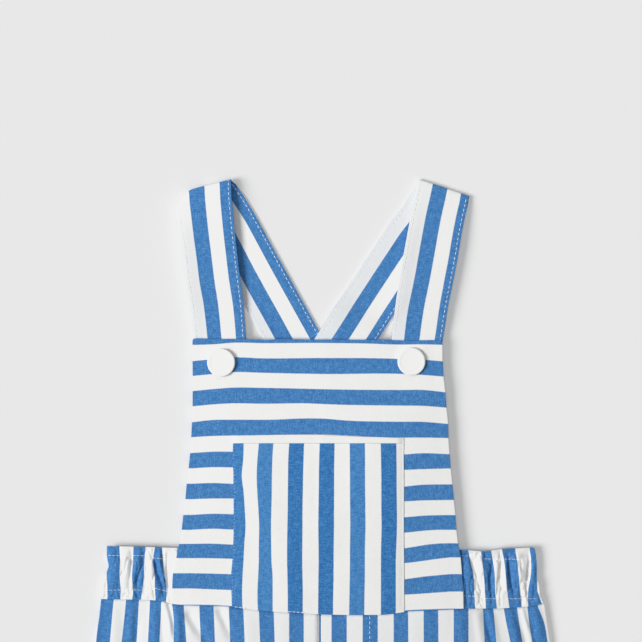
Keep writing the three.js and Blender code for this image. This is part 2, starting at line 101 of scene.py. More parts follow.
# %% Helpers for shapes
def ease(low, high, value):
    """Rises smoothly from 0 at low to 1 at high, which may also lie below low."""
    share = np.clip((np.asarray(value, float) - low) / (high - low), 0, 1)
    return share * share * (3 - 2 * share)


def mix(a, b, share):
    """Goes from a to b as share goes from 0 to 1."""
    return a + (b - a) * share


def look_up(table, key, column=1):
    """Interpolates a table's column at a key. Column 0 holds the keys, in any order."""
    rows = sorted(table, key=lambda row: row[0])
    return np.interp(key, [row[0] for row in rows], [row[column] for row in rows])


EDGE_TICKS = np.array([0, 0.12, 0.3, 0.55, 0.9, 1.4, 2.0, 2.8, 3.8])


def ticks(length, spacing):
    """Distances from 0 to length, about one spacing apart and closer near both ends."""
    near = EDGE_TICKS
    count = max(2, round((length - 2 * near[-1]) / spacing) + 1)
    inner = np.linspace(near[-1], length - near[-1], count)[1:-1]
    return np.concatenate([near, inner, (length - near)[::-1]])


def rounding(distance, radius=EDGE_ROUNDING):
    """A quarter circle's height, 0 at the edge and 1 from a radius inwards."""
    share = np.clip(distance / radius, 0, 1)
    return np.sqrt(1 - (1 - share) ** 2)


RIPPLE_WAVES = 7
RIPPLE_PEAK = 3.0  # about how high the sum of so many waves rises


def ripple(x, y, seed, length, height):
    """Low uneven waves of about the given length that hardly repeat."""
    rng = np.random.default_rng(seed)
    total = np.zeros_like(np.asarray(x, float))
    for _ in range(RIPPLE_WAVES):
        angle = rng.uniform(0, np.pi)
        wave = length * rng.uniform(0.6, 1.8)
        phase = rng.uniform(0, 2 * np.pi)
        along = x * np.cos(angle) + y * np.sin(angle)
        total = total + np.sin(2 * np.pi * along / wave + phase)
    return total * height / RIPPLE_PEAK


def to_line(x, y, points):
    """Signed distance to a bent line, and how far along it (0 to 1) the nearest place is."""
    points = np.asarray(points, float)
    lengths = np.hypot(*np.diff(points, axis=0).T)
    total, best = lengths.sum(), np.full(np.shape(x), np.inf)
    aside, along = np.zeros(np.shape(x)), np.zeros(np.shape(x))
    before = 0.0
    for (x0, y0), (x1, y1), length in zip(points, points[1:], lengths):
        dx, dy = (x1 - x0) / length, (y1 - y0) / length
        share = (x - x0) * dx + (y - y0) * dy
        held = np.clip(share, 0, length)
        away = np.hypot(x - x0 - held * dx, y - y0 - held * dy)
        side = np.sign((x - x0) * dy - (y - y0) * dx)
        nearer = away < best
        best = np.where(nearer, away, best)
        aside = np.where(nearer, away * side, aside)
        along = np.where(nearer, (before + held) / total, along)
        before += length
    return aside, along


def creases(x, y, table):
    """Sum of listed creases: points, half width, height (below 0 a furrow), sharpness 0 to 1."""
    total = np.zeros(np.shape(x))
    for points, half_width, height, sharp in table:
        aside, along = to_line(x, y, points)
        away = np.abs(aside) / half_width
        soft = np.exp(-away * away)
        keen = np.exp(-1.6 * away)
        # It begins within a fifth of its length and fades out over the last quarter or so
        ends = ease(0, 0.18, along) * ease(1, 0.72, along)
        total = total + height * mix(soft, keen, sharp) * mix(0.15, 1, ends)
    return total


# %% [markdown]
# ## Shells
#
# A shell is made from two grids of points, the upper and the lower face, closed by a rim. Every
# point also carries its place in the cloth, counted in stripe pairs across and along the stripes, so
# that the stripes follow the panel wherever it bends. A cloth simulation could drape the panels too,
# but it would move them off their solids and crease them anew with every change. Grids of points
# keep each crease where the photo has it.


# %% Build a closed shell with cloth coordinates
def shell(name, upper, lower, cloth_upper, cloth_lower, material, turnings_and_shade=None, paler=None):
    """The last two arguments are pairs of grids, for the upper and the lower face, with values from 0 to
    1:
    how strongly the white is tinted bluish-grey, for folded-in edges showing through and for painted
    shade, and how much paler the blue yarns are."""
    rows, columns = upper.shape[:2]
    count = rows * columns
    points = np.concatenate([upper.reshape(-1, 3), lower.reshape(-1, 3)]) * MM
    cloth = np.concatenate([cloth_upper.reshape(-1, 2), cloth_lower.reshape(-1, 2)])
    index = np.arange(count).reshape(rows, columns)
    a, b, c, d = index[:-1, :-1], index[1:, :-1], index[1:, 1:], index[:-1, 1:]
    faces = [np.stack([a, b, c, d], -1).reshape(-1, 4)]
    faces.append(np.stack([a, d, c, b], -1).reshape(-1, 4) + count)
    left, right = index[:, 0], index[:, -1]
    faces.append(np.stack([left[:-1], left[:-1] + count, left[1:] + count, left[1:]], -1))
    faces.append(np.stack([right[:-1], right[1:], right[1:] + count, right[:-1] + count], -1))
    top, foot = index[0], index[-1]
    faces.append(np.stack([top[:-1], top[1:], top[1:] + count, top[:-1] + count], -1))
    faces.append(np.stack([foot[:-1], foot[:-1] + count, foot[1:] + count, foot[1:]], -1))
    faces = np.concatenate(faces)
    piece = mesh_piece(name, points, faces, material, cloth)
    for kind, values in (("turnings_and_shade", turnings_and_shade), ("paler", paler)):
        if values is not None:
            layer = piece.data.attributes.new(kind, "FLOAT", "POINT")
            flat = np.concatenate([v.ravel() for v in values]).astype(np.float32)
            layer.data.foreach_set("value", flat)
    return piece


def mesh_piece(name, points, faces, material, cloth=None):
    """A smooth mesh object of points in metres and faces of one kind, riding on the root body."""
    mesh = bpy.data.meshes.new(name)
    mesh.vertices.add(len(points))
    mesh.vertices.foreach_set("co", np.asarray(points, np.float32).ravel())
    sides = faces.shape[1]
    mesh.loops.add(faces.size)
    mesh.loops.foreach_set("vertex_index", faces.astype(np.int32).ravel())
    mesh.polygons.add(len(faces))
    mesh.polygons.foreach_set("loop_start", np.arange(0, faces.size, sides, dtype=np.int32))
    mesh.update(calc_edges=True)
    if cloth is not None:
        layer = mesh.uv_layers.new(name="cloth")
        layer.uv.foreach_set("vector", cloth[faces.ravel()].astype(np.float32).ravel())
    mesh.polygons.foreach_set("use_smooth", np.ones(len(faces), bool))
    mesh.materials.append(material)
    piece = bpy.data.objects.new(name, mesh)
    bpy.context.collection.objects.link(piece)
    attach(piece, "root")
    return piece


# %% [markdown]
# ## Materials
#
# The cloth is yarn-dyed cotton: blue warp bands and white warp bands crossed by a white weft, which
# is why the blue is flecked with lighter specks and faint crosswise streaks. Cotton has no gloss, so
# the roughness is high and a little sheen stands for its loose fibres. The weave itself has about
# two yarns a millimetre; it is drawn at half that so that it still shows from a metre away.


# %% Colours and node helper
def linear(hex_colour):
    """The sRGB colour of a swatch as the linear values that the renderer works in."""
    values = [int(hex_colour[i : i + 2], 16) / 255 for i in (1, 3, 5)]
    return [v / 12.92 if v <= 0.04045 else ((v + 0.055) / 1.055) ** 2.4 for v in values] + [1.0]


def add(material, kind, settings=None, **inputs):
    """Adds one node: settings are its own properties, inputs are values or sockets to link from."""
    node = material.node_tree.nodes.new(kind)
    for name, value in (settings or {}).items():
        setattr(node, name, value)
    for name, value in inputs.items():
        key = int(name[1:]) if name[0] == "i" and name[1:].isdigit() else name.replace("_", " ")
        socket = node.inputs[key]
        if isinstance(value, bpy.types.NodeSocket):
            material.node_tree.links.new(value, socket)
        else:
            socket.default_value = value
    return node


def new_material(name):
    """A material whose nodes are still to be added."""
    material = bpy.data.materials.new(name)
    material.use_nodes = True
    material.node_tree.nodes.clear()
    return material


# %% Striped cotton and plain cotton
YARNS_PER_PAIR = 20.0  # one drawn yarn a millimetre: coarser than the real two, so that it shows
BLUES = {  # deep, middle and pale yarns
    "body": (linear("#2f69aa"), linear("#427eba"), linear("#6099ce")),
    # The pocket is cut from the same cloth: its darker blues are painted shade
    "pocket": (linear("#2060a4"), linear("#3477b5"), linear("#5591cb")),
}
WHITE, WHITE_SHADE = linear("#f3f3f2"), linear("#eeeeec")
# The bluish-grey of folded-in blue edges showing through, and of painted shade
TURNING_AND_SHADE_TINT = linear("#e8eef6")


def cotton(name, blues=None):
    """Blues are the deep, middle and pale yarns of the coloured stripe; without them it is all white."""
    m = new_material(name)
    cloth = add(m, "ShaderNodeUVMap", {"uv_map": "cloth"}).outputs["UV"]
    place = add(m, "ShaderNodeSeparateXYZ", Vector=cloth)
    across, along = place.outputs["X"], place.outputs["Y"]

    def maths(operation, a, b=0.0, c=0.0):
        return add(m, "ShaderNodeMath", {"operation": operation}, i0=a, i1=b, i2=c).outputs[0]

    def noise(scale_across, scale_along, detail, roughness=0.55, offset=0.0):
        where = add(
            m, "ShaderNodeCombineXYZ", X=maths("MULTIPLY_ADD", across, scale_across, offset),
            Y=maths("MULTIPLY", along, scale_along), Z=offset,
        ).outputs[0]
        return add(
            m, "ShaderNodeTexNoise", Vector=where, Scale=1.0, Detail=detail, Roughness=roughness
        ).outputs[0]

    # Patches of about 3 mm, streaks across the stripes from the weft, and others along the warp
    patches = noise(7.0, 6.0, 2.0)
    weft = noise(5.0, 26.0, 2.0, offset=7.0)
    warp = noise(30.0, 6.0, 2.0, offset=13.0)
    specks = noise(22.0, 22.0, 3.0, 0.8, offset=21.0)
    tone = maths("MULTIPLY_ADD", patches, 0.25, maths("MULTIPLY", weft, 0.35))
    tone = maths("ADD", tone, maths("MULTIPLY_ADD", warp, 0.25, maths("MULTIPLY", specks, 0.7)))
    paler = add(m, "ShaderNodeAttribute", {"attribute_name": "paler"}).outputs["Fac"]
    tone = maths("MULTIPLY_ADD", paler, 0.09, tone)
    tone = add(
        m, "ShaderNodeMapRange", Value=tone, From_Min=0.62, From_Max=0.93, To_Min=0.0, To_Max=1.0
    ).outputs[0]
    white = add(
        m, "ShaderNodeMix", {"data_type": "RGBA"}, i0=tone, i6=WHITE_SHADE, i7=WHITE
    ).outputs[2]
    colour = white
    if blues:
        deep = add(m, "ShaderNodeValToRGB", Fac=tone)
        ramp = deep.color_ramp.elements
        ramp[0].color, ramp[1].color = blues[0], blues[2]
        middle = ramp.new(0.5)
        middle.color = blues[1]
        # The stripe's edge wanders by about a tenth of a millimetre, yarn by yarn
        wander = maths("MULTIPLY_ADD", maths("SUBTRACT", specks, 0.5), 0.012, across)
        wave = maths("SINE", maths("MULTIPLY", wander, 2 * np.pi))
        band = add(
            m, "ShaderNodeMapRange", {"interpolation_type": "SMOOTHSTEP"},
            Value=wave, From_Min=-0.09, From_Max=0.09,
        ).outputs[0]
        colour = add(
            m, "ShaderNodeMix", {"data_type": "RGBA"}, i0=band, i6=white, i7=deep.outputs[0]
        ).outputs[2]

    # Bluish-grey tint of the white: folded-in blue edges showing through, and painted shade
    turnings_and_shade = add(m, "ShaderNodeAttribute", {"attribute_name": "turnings_and_shade"}).outputs["Fac"]
    colour = add(
        m, "ShaderNodeMix", {"data_type": "RGBA", "blend_type": "MULTIPLY"},
        i0=turnings_and_shade, i6=colour, i7=TURNING_AND_SHADE_TINT,
    ).outputs[2]

    # Plain weave: rows of yarns passing over and under each other, with softly uneven height
    yarn = 2 * np.pi * YARNS_PER_PAIR
    weave = maths(
        "MULTIPLY", maths("SINE", maths("MULTIPLY", across, yarn)),
        maths("SINE", maths("MULTIPLY", along, yarn)),
    )
    height = maths("MULTIPLY_ADD", weave, 0.25, maths("ADD", patches, maths("MULTIPLY", weft, 0.6)))
    bump = add(m, "ShaderNodeBump", Strength=0.25, Distance=0.0003, Height=height).outputs[0]
    surface = add(
        m, "ShaderNodeBsdfPrincipled", Base_Color=colour, Roughness=0.86, IOR=1.5,
        Specular_IOR_Level=0.25, Sheen_Weight=0.08, Sheen_Roughness=0.5, Normal=bump,
    )
    add(m, "ShaderNodeOutputMaterial", Surface=surface.outputs[0])
    return m


striped_cotton = cotton("yarn_dyed_stripe", BLUES["body"])
# The pocket's copy of the stripe, with darker blues as painted shade
pocket_cotton = cotton("yarn_dyed_stripe_shaded_darker", BLUES["pocket"])
white_cotton = cotton("bleached_cotton")

# %% [markdown]
# The sewing thread is white core-spun polyester with a slight shine. The buttons are moulded white
# polyester, polished in a tumbler and so satin rather than glossy.

# %% Thread, button and table
thread_look = new_material("sewing_thread")
thread_surface = add(
    thread_look, "ShaderNodeBsdfPrincipled", Base_Color=linear("#f6f7f8"), Roughness=0.55, IOR=1.5,
    Sheen_Weight=0.1,
)
add(thread_look, "ShaderNodeOutputMaterial", Surface=thread_surface.outputs[0])

button_look = new_material("moulded_polyester")
where = add(button_look, "ShaderNodeTexCoord").outputs["Object"]
clouding = add(
    button_look, "ShaderNodeTexNoise", Vector=where, Scale=180.0, Detail=2.0
).outputs[0]
button_white = add(
    button_look, "ShaderNodeMix", {"data_type": "RGBA"}, i0=clouding,
    i6=linear("#f4f4f1"), i7=linear("#f8f8f6"),
).outputs[2]
button_surface = add(
    button_look, "ShaderNodeBsdfPrincipled", Base_Color=button_white, Roughness=0.38, IOR=1.52,
    Subsurface_Weight=0.05, Subsurface_Scale=0.001,
)
add(button_look, "ShaderNodeOutputMaterial", Surface=button_surface.outputs[0])

table_look = new_material("pale_table")
table_surface = add(
    table_look, "ShaderNodeBsdfPrincipled", Base_Color=linear("#e8e8e8"), Roughness=0.95,
    Specular_IOR_Level=0.0,
)
add(table_look, "ShaderNodeOutputMaterial", Surface=table_surface.outputs[0])
print("materials:", [m.name for m in bpy.data.materials])

# %% [markdown]
# ## Where the stripes lie
#
# The stripes are woven, so they wander a little, bend over the gathers and draw closer together
# where the cloth is pulled in. They could be an even pattern that is bent afterwards. Here each panel
# has a short table of its stripe edges instead, which is easy to hold against the photo. A row is one
# edge and the columns are the places where it was read off. On the bib and the pocket the first edge
# begins a blue stripe, on the trousers and the waistband a white one.


# %% Turn a table of stripe edges into a cloth coordinate
def curve_through(key, keys, values):
    """A curve without kinks through the values that belong to the rising keys."""
    slope = np.gradient(values, keys)
    i = np.clip(np.searchsorted(keys, key) - 1, 0, len(keys) - 2)
    span = keys[i + 1] - keys[i]
    u = np.clip((key - keys[i]) / span, 0, 1)
    start = values[i] * (1 + 2 * u) + slope[i] * span * u
    end = values[i + 1] * (3 - 2 * u) - slope[i + 1] * span * (1 - u)
    return start * (1 - u) ** 2 + end * u**2


def stripe_place(value, key, keys, edges, first=0.0):
    """Stripe pairs counted at `value`, between edges that change with `key`."""
    order = np.argsort(keys)
    keys = np.asarray(keys, float)[order]
    at = [curve_through(key, keys, np.asarray(row, float)[order]) for row in edges]
    ahead = 1.0 if np.mean(at[-1]) > np.mean(at[0]) else -1.0
    total = np.full(np.shape(value), first)
    for low, high in zip(at, at[1:]):
        total = total + 0.5 * np.clip((value - low) / (high - low), 0, 1)
    before = np.minimum(0, ahead * (value - at[0])) / STRIPE_PAIR
    beyond = np.maximum(0, ahead * (value - at[-1])) / STRIPE_PAIR
    return total + before + beyond


# Bib, from the top edge down: heights at these distances from the middle
BIB_STRIPE_X = (-83.7, -69.3, -57.5, -37.9, 0.0, 54.9, 65.4, 85.0)
BIB_STRIPES = (
    (182.0, 182.7, 183.3, 183.0, 182.7, 182.4, 182.2, 181.7),
    (172.0, 172.4, 173.4, 173.2, 173.3, 172.2, 172.4, 171.9),
    (161.4, 162.8, 163.9, 163.3, 163.5, 162.8, 162.4, 161.0),
    (151.8, 153.1, 154.3, 153.9, 153.1, 153.1, 152.6, 151.0),
    (141.9, 143.3, 144.2, 144.1, 143.2, 142.7, 142.8, 140.8),
    (132.0, 133.3, 134.0, 133.7, 133.2, 132.5, 132.4, 131.0),
    (121.6, 123.2, 123.3, 123.2, 122.8, 122.0, 122.0, 120.4),
    (111.9, 112.7, 113.0, 113.3, 113.4, 111.7, 111.7, 111.4),
    (101.6, 102.5, 102.5, 102.7, 102.7, 100.7, 101.5, 100.8),
    (91.6, 92.4, 92.3, 92.5, 92.5, 90.7, 91.1, 91.6),
    (81.6, 82.1, 81.6, 81.7, 81.6, 79.8, 80.9, 81.2),
    (71.5, 72.0, 72.0, 71.9, 71.6, 70.2, 70.7, 71.0),
    (61.3, 62.1, 61.8, 61.6, 61.3, 59.8, 60.7, 61.2),
    (51.6, 52.3, 51.8, 51.6, 51.2, 49.7, 50.7, 51.5),
    (42.5, 42.6, 42.0, 41.8, 41.2, 39.6, 41.2, 42.8),
    (33.2, 33.1, 32.8, 32.4, 31.4, 29.9, 31.1, 33.7),
    (23.4, 23.1, 22.7, 22.2, 20.9, 19.4, 20.9, 22.8),
    (13.5, 12.8, 12.4, 11.9, 10.6, 9.4, 10.0, 11.4),
    (2.9, 2.7, 2.0, 1.4, 0.1, -0.8, -0.3, 0.3),
    (-7.1, -7.2, -7.8, -8.4, -9.7, -10.8, -10.5, -9.8),
)
# Where the bib's stripes are pushed up: place x, y, half widths across and up, distance
BIB_STRIPE_PUSHES = (
    (-12, 127, 15, 10, 1.1), (4, 122, 12, 7, 0.9), (76, 44, 9, 13, 0.5), (31, 172, 16, 8, 0.4),
)

# Pocket, from left to right: distances from the middle at these heights
POCKET_STRIPE_Y = (107.8, 98.0, 86.9, 75.8, 64.1, 54.2, 41.2, 31.4, 21.6, 11.8, -2.6)
POCKET_STRIPES = (
    (-59.5, -59.8, -60.7, -59.5, -58.8, -58.4, -59.3, -59.7, -60.3, -60.6, -60.2),
    (-49.6, -49.9, -50.9, -49.6, -48.8, -48.4, -49.3, -49.8, -50.4, -50.7, -50.3),
    (-39.8, -40.7, -41.2, -40.8, -40.0, -39.5, -39.7, -39.7, -40.2, -40.7, -40.4),
    (-30.4, -31.0, -31.3, -31.4, -31.8, -32.1, -31.9, -31.6, -30.9, -30.8, -30.8),
    (-20.0, -20.6, -20.8, -20.9, -21.0, -21.2, -21.4, -21.4, -21.2, -21.0, -20.9),
    (-10.4, -10.7, -11.0, -11.2, -11.4, -11.4, -11.5, -11.6, -11.4, -11.2, -11.3),
    (-0.2, -0.5, -0.7, -0.8, -1.0, -1.1, -0.9, -0.8, -1.0, -1.1, -1.2),
    (9.5, 9.3, 9.2, 9.2, 9.1, 9.1, 8.9, 8.8, 8.8, 8.6, 8.4),
    (19.3, 19.4, 19.5, 19.5, 19.6, 19.7, 19.5, 19.5, 19.4, 19.2, 19.0),
    (29.2, 29.3, 29.3, 29.4, 29.5, 29.6, 29.3, 29.2, 29.2, 29.0, 28.8),
    (39.5, 39.7, 39.9, 39.9, 39.9, 40.1, 39.8, 39.7, 39.7, 39.7, 39.7),
    (49.7, 49.8, 49.9, 49.9, 50.1, 50.1, 49.7, 49.3, 49.3, 49.3, 49.3),
    (59.7, 59.7, 59.8, 59.9, 60.0, 60.1, 59.7, 59.5, 59.5, 59.5, 59.5),
)

# Trouser fronts, from left to right: at the waist, a little below it, and at the picture's edge.
# The last two columns are the hip and the hem, where the stripes run straight and evenly spaced.
LEFT_LEG_STRIPE_Y = (6.5, -5.9, -22.2, -150.0, -570.0)
LEFT_LEG_STRIPES = (
    (-151.6, -153.9, -155.9, -160.0, -157.0),
    (-142.9, -144.3, -146.2, -150.2, -147.0),
    (-134.5, -135.6, -137.0, -140.3, -137.2),
    (-126.4, -127.6, -129.5, -130.5, -127.4),
    (-118.0, -118.7, -119.6, -120.6, -117.6),
    (-110.8, -111.4, -112.2, -110.6, -107.7),
    (-103.3, -103.9, -104.7, -100.6, -97.9),
    (-96.9, -95.4, -95.3, -90.6, -88.0),
    (-89.2, -88.2, -87.1, -80.6, -78.2),
    (-78.7, -78.3, -77.6, -70.6, -68.4),
    (-69.5, -69.0, -68.4, -60.5, -58.5),
    (-59.5, -59.1, -58.5, -50.4, -48.7),
    (-50.3, -49.7, -49.0, -40.4, -38.8),
    (-40.1, -39.6, -39.0, -30.3, -29.0),
    (-30.4, -30.0, -29.5, -20.4, -19.2),
    (-20.2, -20.1, -20.1, -10.6, -9.3),
    (-10.6, -10.6, -10.6, -0.6, 0.5),
    (-0.5, -0.5, -0.5, 9.4, 10.3),
    (9.5, 9.5, 9.5, 19.4, 20.2),
)
RIGHT_LEG_STRIPE_Y = (1.3, -7.8, -22.2, -150.0, -570.0)
RIGHT_LEG_STRIPES = (
    (-2.4, -2.4, -2.4, -2.4, 1.0),
    (7.5, 7.5, 7.5, 7.5, 10.8),
    (17.4, 17.4, 17.4, 17.4, 20.6),
    (27.8, 27.8, 27.8, 27.8, 30.5),
    (37.6, 37.6, 37.6, 37.6, 40.3),
    (47.9, 48.0, 48.0, 48.0, 50.1),
    (57.3, 57.4, 57.5, 57.8, 59.9),
    (67.5, 67.5, 67.6, 67.9, 69.8),
    (76.9, 77.0, 77.1, 77.8, 79.6),
    (87.1, 87.1, 87.1, 87.9, 89.5),
    (96.7, 96.7, 96.7, 97.9, 99.3),
    (106.3, 106.7, 107.4, 108.0, 109.1),
    (112.9, 113.7, 115.0, 118.0, 119.0),
    (119.6, 121.2, 124.2, 128.0, 128.8),
    (128.3, 129.8, 132.0, 137.9, 138.6),
    (135.2, 136.2, 138.4, 147.9, 148.5),
    (142.0, 145.8, 148.6, 157.8, 158.3),
    (152.0, 153.6, 158.2, 167.8, 168.2),
)

# Waistband beside the bib, drawn together by its elastic
LEFT_BAND_STRIPE_Y = (40.5, 31.4, 21.6, 12.4, 5.9)
LEFT_BAND_STRIPES = (
    (-148.0, -148.5, -148.2, -148.2, -148.2),
    (-138.9, -139.1, -139.0, -138.6, -138.6),
    (-130.8, -130.3, -130.6, -129.9, -130.1),
    (-121.5, -121.9, -122.6, -121.8, -122.4),
    (-113.7, -114.4, -114.9, -115.7, -116.9),
    (-107.6, -108.8, -107.7, -107.6, -107.2),
    (-103.1, -102.4, -101.2, -100.1, -100.4),
    (-93.1, -92.8, -92.2, -91.5, -91.5),
)
RIGHT_BAND_STRIPE_Y = (38.6, 31.4, 21.6, 11.8, 0.7)
RIGHT_BAND_STRIPES = (
    (82.4, 83.0, 83.7, 84.3, 85.0),
    (90.6, 91.4, 92.5, 93.7, 93.9),
    (96.5, 97.9, 100.1, 100.5, 101.2),
    (104.8, 105.6, 106.7, 107.5, 108.1),
    (111.4, 112.7, 113.9, 114.1, 115.3),
    (118.6, 120.0, 121.0, 122.0, 123.4),
    (127.3, 128.4, 129.5, 130.3, 131.6),
    (137.0, 137.8, 137.4, 135.7, 135.6),
    (140.5, 141.4, 141.4, 141.8, 145.8),
    (149.0, 149.7, 150.3, 150.3, 154.2),
)

# %% [markdown]
# ## Outlines
#
# The outlines repeat those of the solids: the bib narrows towards its top, the waist seam dips in
# the middle, and the trousers widen to the hip and taper to the hem.

# %% Tables of the outlines
# Waist seam: x, y
WAIST_SEAM = (
    (-142.7, 6.4), (-111.1, 5.8), (-102.0, 4.8), (-96.7, 3.4), (-90.0, 2.6), (-78.4, 2.4),
    (-60.5, 1.9), (-52.3, 0.6), (-40.5, -0.9), (-20.9, -2.2), (-0.7, -3.3), (17.6, -3.8),
    (39.2, -3.7), (48.4, -2.9), (56.9, -1.5), (71.9, -0.8), (93.5, 0.1), (117.6, 0.2),
    (137.3, 1.5), (146.1, 3.3),
)
# Bib: left x, left y, right x, right y
BIB_SECTIONS = (
    (-83.0, 175.5, 79.7, 174.5), (-83.0, 162.1, 79.9, 162.1), (-82.9, 151.6, 80.4, 151.6),
    (-82.9, 141.2, 81.7, 141.2), (-83.0, 131.4, 82.4, 131.4), (-83.4, 121.6, 83.5, 120.9),
    (-83.9, 111.8, 83.7, 111.1), (-84.6, 101.3, 84.4, 100.7), (-85.6, 91.5, 85.2, 91.5),
    (-86.9, 81.0, 86.2, 81.0), (-87.7, 71.2, 87.3, 70.6), (-89.1, 60.8, 88.2, 60.8),
    (-90.1, 51.0, 88.9, 51.3), (-91.8, 41.8, 90.0, 42.5), (-93.7, 32.7, 91.6, 34.0),
    (-95.8, 23.5, 92.5, 22.2), (-96.4, 13.1, 93.3, 11.8), (-96.9, 3.6, 93.6, 0.3),
)
# Pocket: y, left x, right x
POCKET_SECTIONS = (
    (107.8, -56.6, 54.6), (98.0, -57.0, 54.5), (88.0, -56.4, 54.6), (74.0, -56.3, 54.7),
    (60.0, -56.2, 54.6), (46.0, -56.3, 54.6), (32.0, -56.7, 54.7), (18.0, -57.9, 54.8),
    (10.0, -57.8, 54.8), (-4.0, -57.4, 54.9),
)
# Some of the pocket's blue stripes are paler: distance from the middle, how much
POCKET_PALER = (
    (-54.9, 0.5), (-48, 0.5), (-41, 1.0), (-31, 1.0), (-24, 0.0), (14, 0.0), (19, 0.9), (29, 0.9),
    (36, 0.0),
)
# Top edge of the pocket's white band: x, y
POCKET_TOP = ((-56.6, 112.7), (-26.1, 113.5), (0.0, 113.5), (19.6, 112.5), (54.6, 111.5))
# Trousers: y, left outer x, right outer x, inner leg from the middle
LEG_SECTIONS = (
    (7.0, -142.7, 145.9, 0), (-6, -144.0, 147.6, 0), (-14, -145.4, 148.8, 0),
    (-22, -146.2, 150.0, 0), (-34, -147.6, 151.0, 0), (-48, -149.3, 152.3, 0),
    (-64, -151.2, 153.8, 0), (-84, -153.3, 155.8, 0), (-108, -155.2, 157.6, 0),
    (-134, -156.4, 158.6, 0), (-160, -156.6, 158.8, 0), (-184, -156.2, 158.3, 0),
    (-203, -155.4, 157.4, 0), (-210, -155.0, 157.0, 1.2), (-222, -154.4, 156.3, 3.0),
    (-245, -153.0, 154.8, 5.4), (-280, -150.8, 152.6, 7.8), (-320, -148.6, 150.4, 9.6),
    (-365, -146.4, 148.2, 11.0), (-410, -144.6, 146.4, 12.0), (-455, -143.0, 144.8, 12.8),
    (-500, -141.6, 143.4, 13.4), (-535, -140.6, 142.4, 13.8), (HEM_Y, -139.8, 141.6, 14.0),
)
# Waistband: y, left x, right x
BAND_EDGES = (
    (40.2, -138.9, 139.4), (38.0, -138.9, 140.2), (34.6, -139.2, 140.8), (29.0, -138.4, 141.4),
    (25.4, -137.6, 141.4), (19.6, -139.6, 141.4), (15.7, -141.0, 143.0), (8.8, -141.5, 143.3),
    (3.4, -142.3, 145.6), (-3.0, -142.6, 146.4),
)

# %% [markdown]
# ## Creases
#
# Each row is one crease: the points it passes through, its half width, its height (below 0 it is a
# furrow) and how sharp it is. The gathers of the waistband are tight and steep, the ones they send
# down into the trousers are soft and die out within a few centimetres. They could be sculpted with a
# brush, but a table can be corrected one crease at a time.

# %% Tables of the creases
LEFT_BAND_CREASES = (
    ([(-123.5, 39.9), (-122.5, 31.4), (-123.2, 22.9), (-124.3, 15), (-123.5, 6.5)], 1.1, -0.8, 0.8),
    ([(-115.2, 36), (-115.9, 28.1), (-118.3, 22.2), (-119.5, 15.7), (-118.8, 5.2)], 0.9, -1.1, 0.9),
    ([(-113.1, 37.9), (-112.9, 28.8), (-113.9, 20.9), (-114.1, 13.1), (-115, 6.5)], 1.2, -0.7, 0.7),
    ([(-107.2, 36.6), (-107.6, 30.1), (-106.5, 24.8), (-104.6, 19.6), (-102.6, 14.4),
      (-101.6, 5.2)], 0.9, -1.3, 0.9),
    ([(-99, 38.6), (-99.7, 30.1), (-99.5, 21.6), (-98.7, 11.8), (-99.7, 5.2)], 1.2, -0.8, 0.7),
    ([(-134.5, 39), (-134, 22), (-134.5, 8)], 3.6, 0.6, 0.0),
    ([(-127, 39), (-126.5, 22), (-128, 8)], 2.4, 0.4, 0.0),
    ([(-118.8, 38), (-119.6, 28), (-122, 20), (-122.4, 8)], 2.0, 0.6, 0.0),
    ([(-110.4, 38), (-110, 24), (-110.4, 8)], 2.0, 0.6, 0.0),
    ([(-104.6, 38), (-104.4, 30), (-102.2, 20), (-100.4, 12)], 1.8, 0.9, 0.1),
    ([(-108, 22), (-105.5, 12), (-104.2, 6)], 1.6, 0.5, 0.1),
)
RIGHT_BAND_CREASES = (
    ([(98.0, 35.3), (100.3, 27.5), (102.6, 19.6), (104.7, 11.8), (107.2, 1.3)], 0.8, -1.0, 0.9),
    ([(107.8, 38.5), (108.0, 31.4)], 0.8, -0.9, 0.8),
    ([(112.4, 33.7), (112.0, 26.1), (111.1, 19.6), (111.5, 11.8), (112.0, 1.3)], 0.8, -1.3, 0.9),
    ([(118.7, 35.3), (118.6, 30.1), (117.4, 22.2), (117.1, 14.4)], 1.2, -0.8, 0.7),
    ([(122.7, 38.5), (123.1, 30.1), (123.8, 22.2), (125.1, 15.7), (127.1, 5.2)], 0.9, -1.2, 0.9),
    ([(130.4, 13.1), (131.9, 6.5), (131.1, 0.7)], 1.0, -1.0, 0.8),
    ([(135.8, 36.6), (137.0, 29.4), (136.2, 21.6), (134.9, 13.1), (135.3, 2.6)], 1.1, -1.1, 0.8),
    ([(95, 36), (97, 24), (98.5, 10)], 2.4, 0.5, 0.0),
    ([(104.5, 37), (107, 22), (109, 6)], 2.6, 0.7, 0.0),
    ([(115.4, 37), (115, 22), (114.6, 6)], 2.0, 0.6, 0.0),
    ([(120.9, 36), (121, 22), (121.6, 8)], 1.6, 0.6, 0.0),
    ([(128.4, 38), (129.8, 26), (131.6, 16)], 2.8, 0.8, 0.0),
    ([(134, 12), (134.4, 4)], 1.6, 0.6, 0.0),
    ([(139.2, 37), (139.6, 24), (139.4, 14)], 1.8, 0.6, 0.0),
    ([(140.6, 10), (142.4, 4)], 1.8, 0.6, 0.0),
)
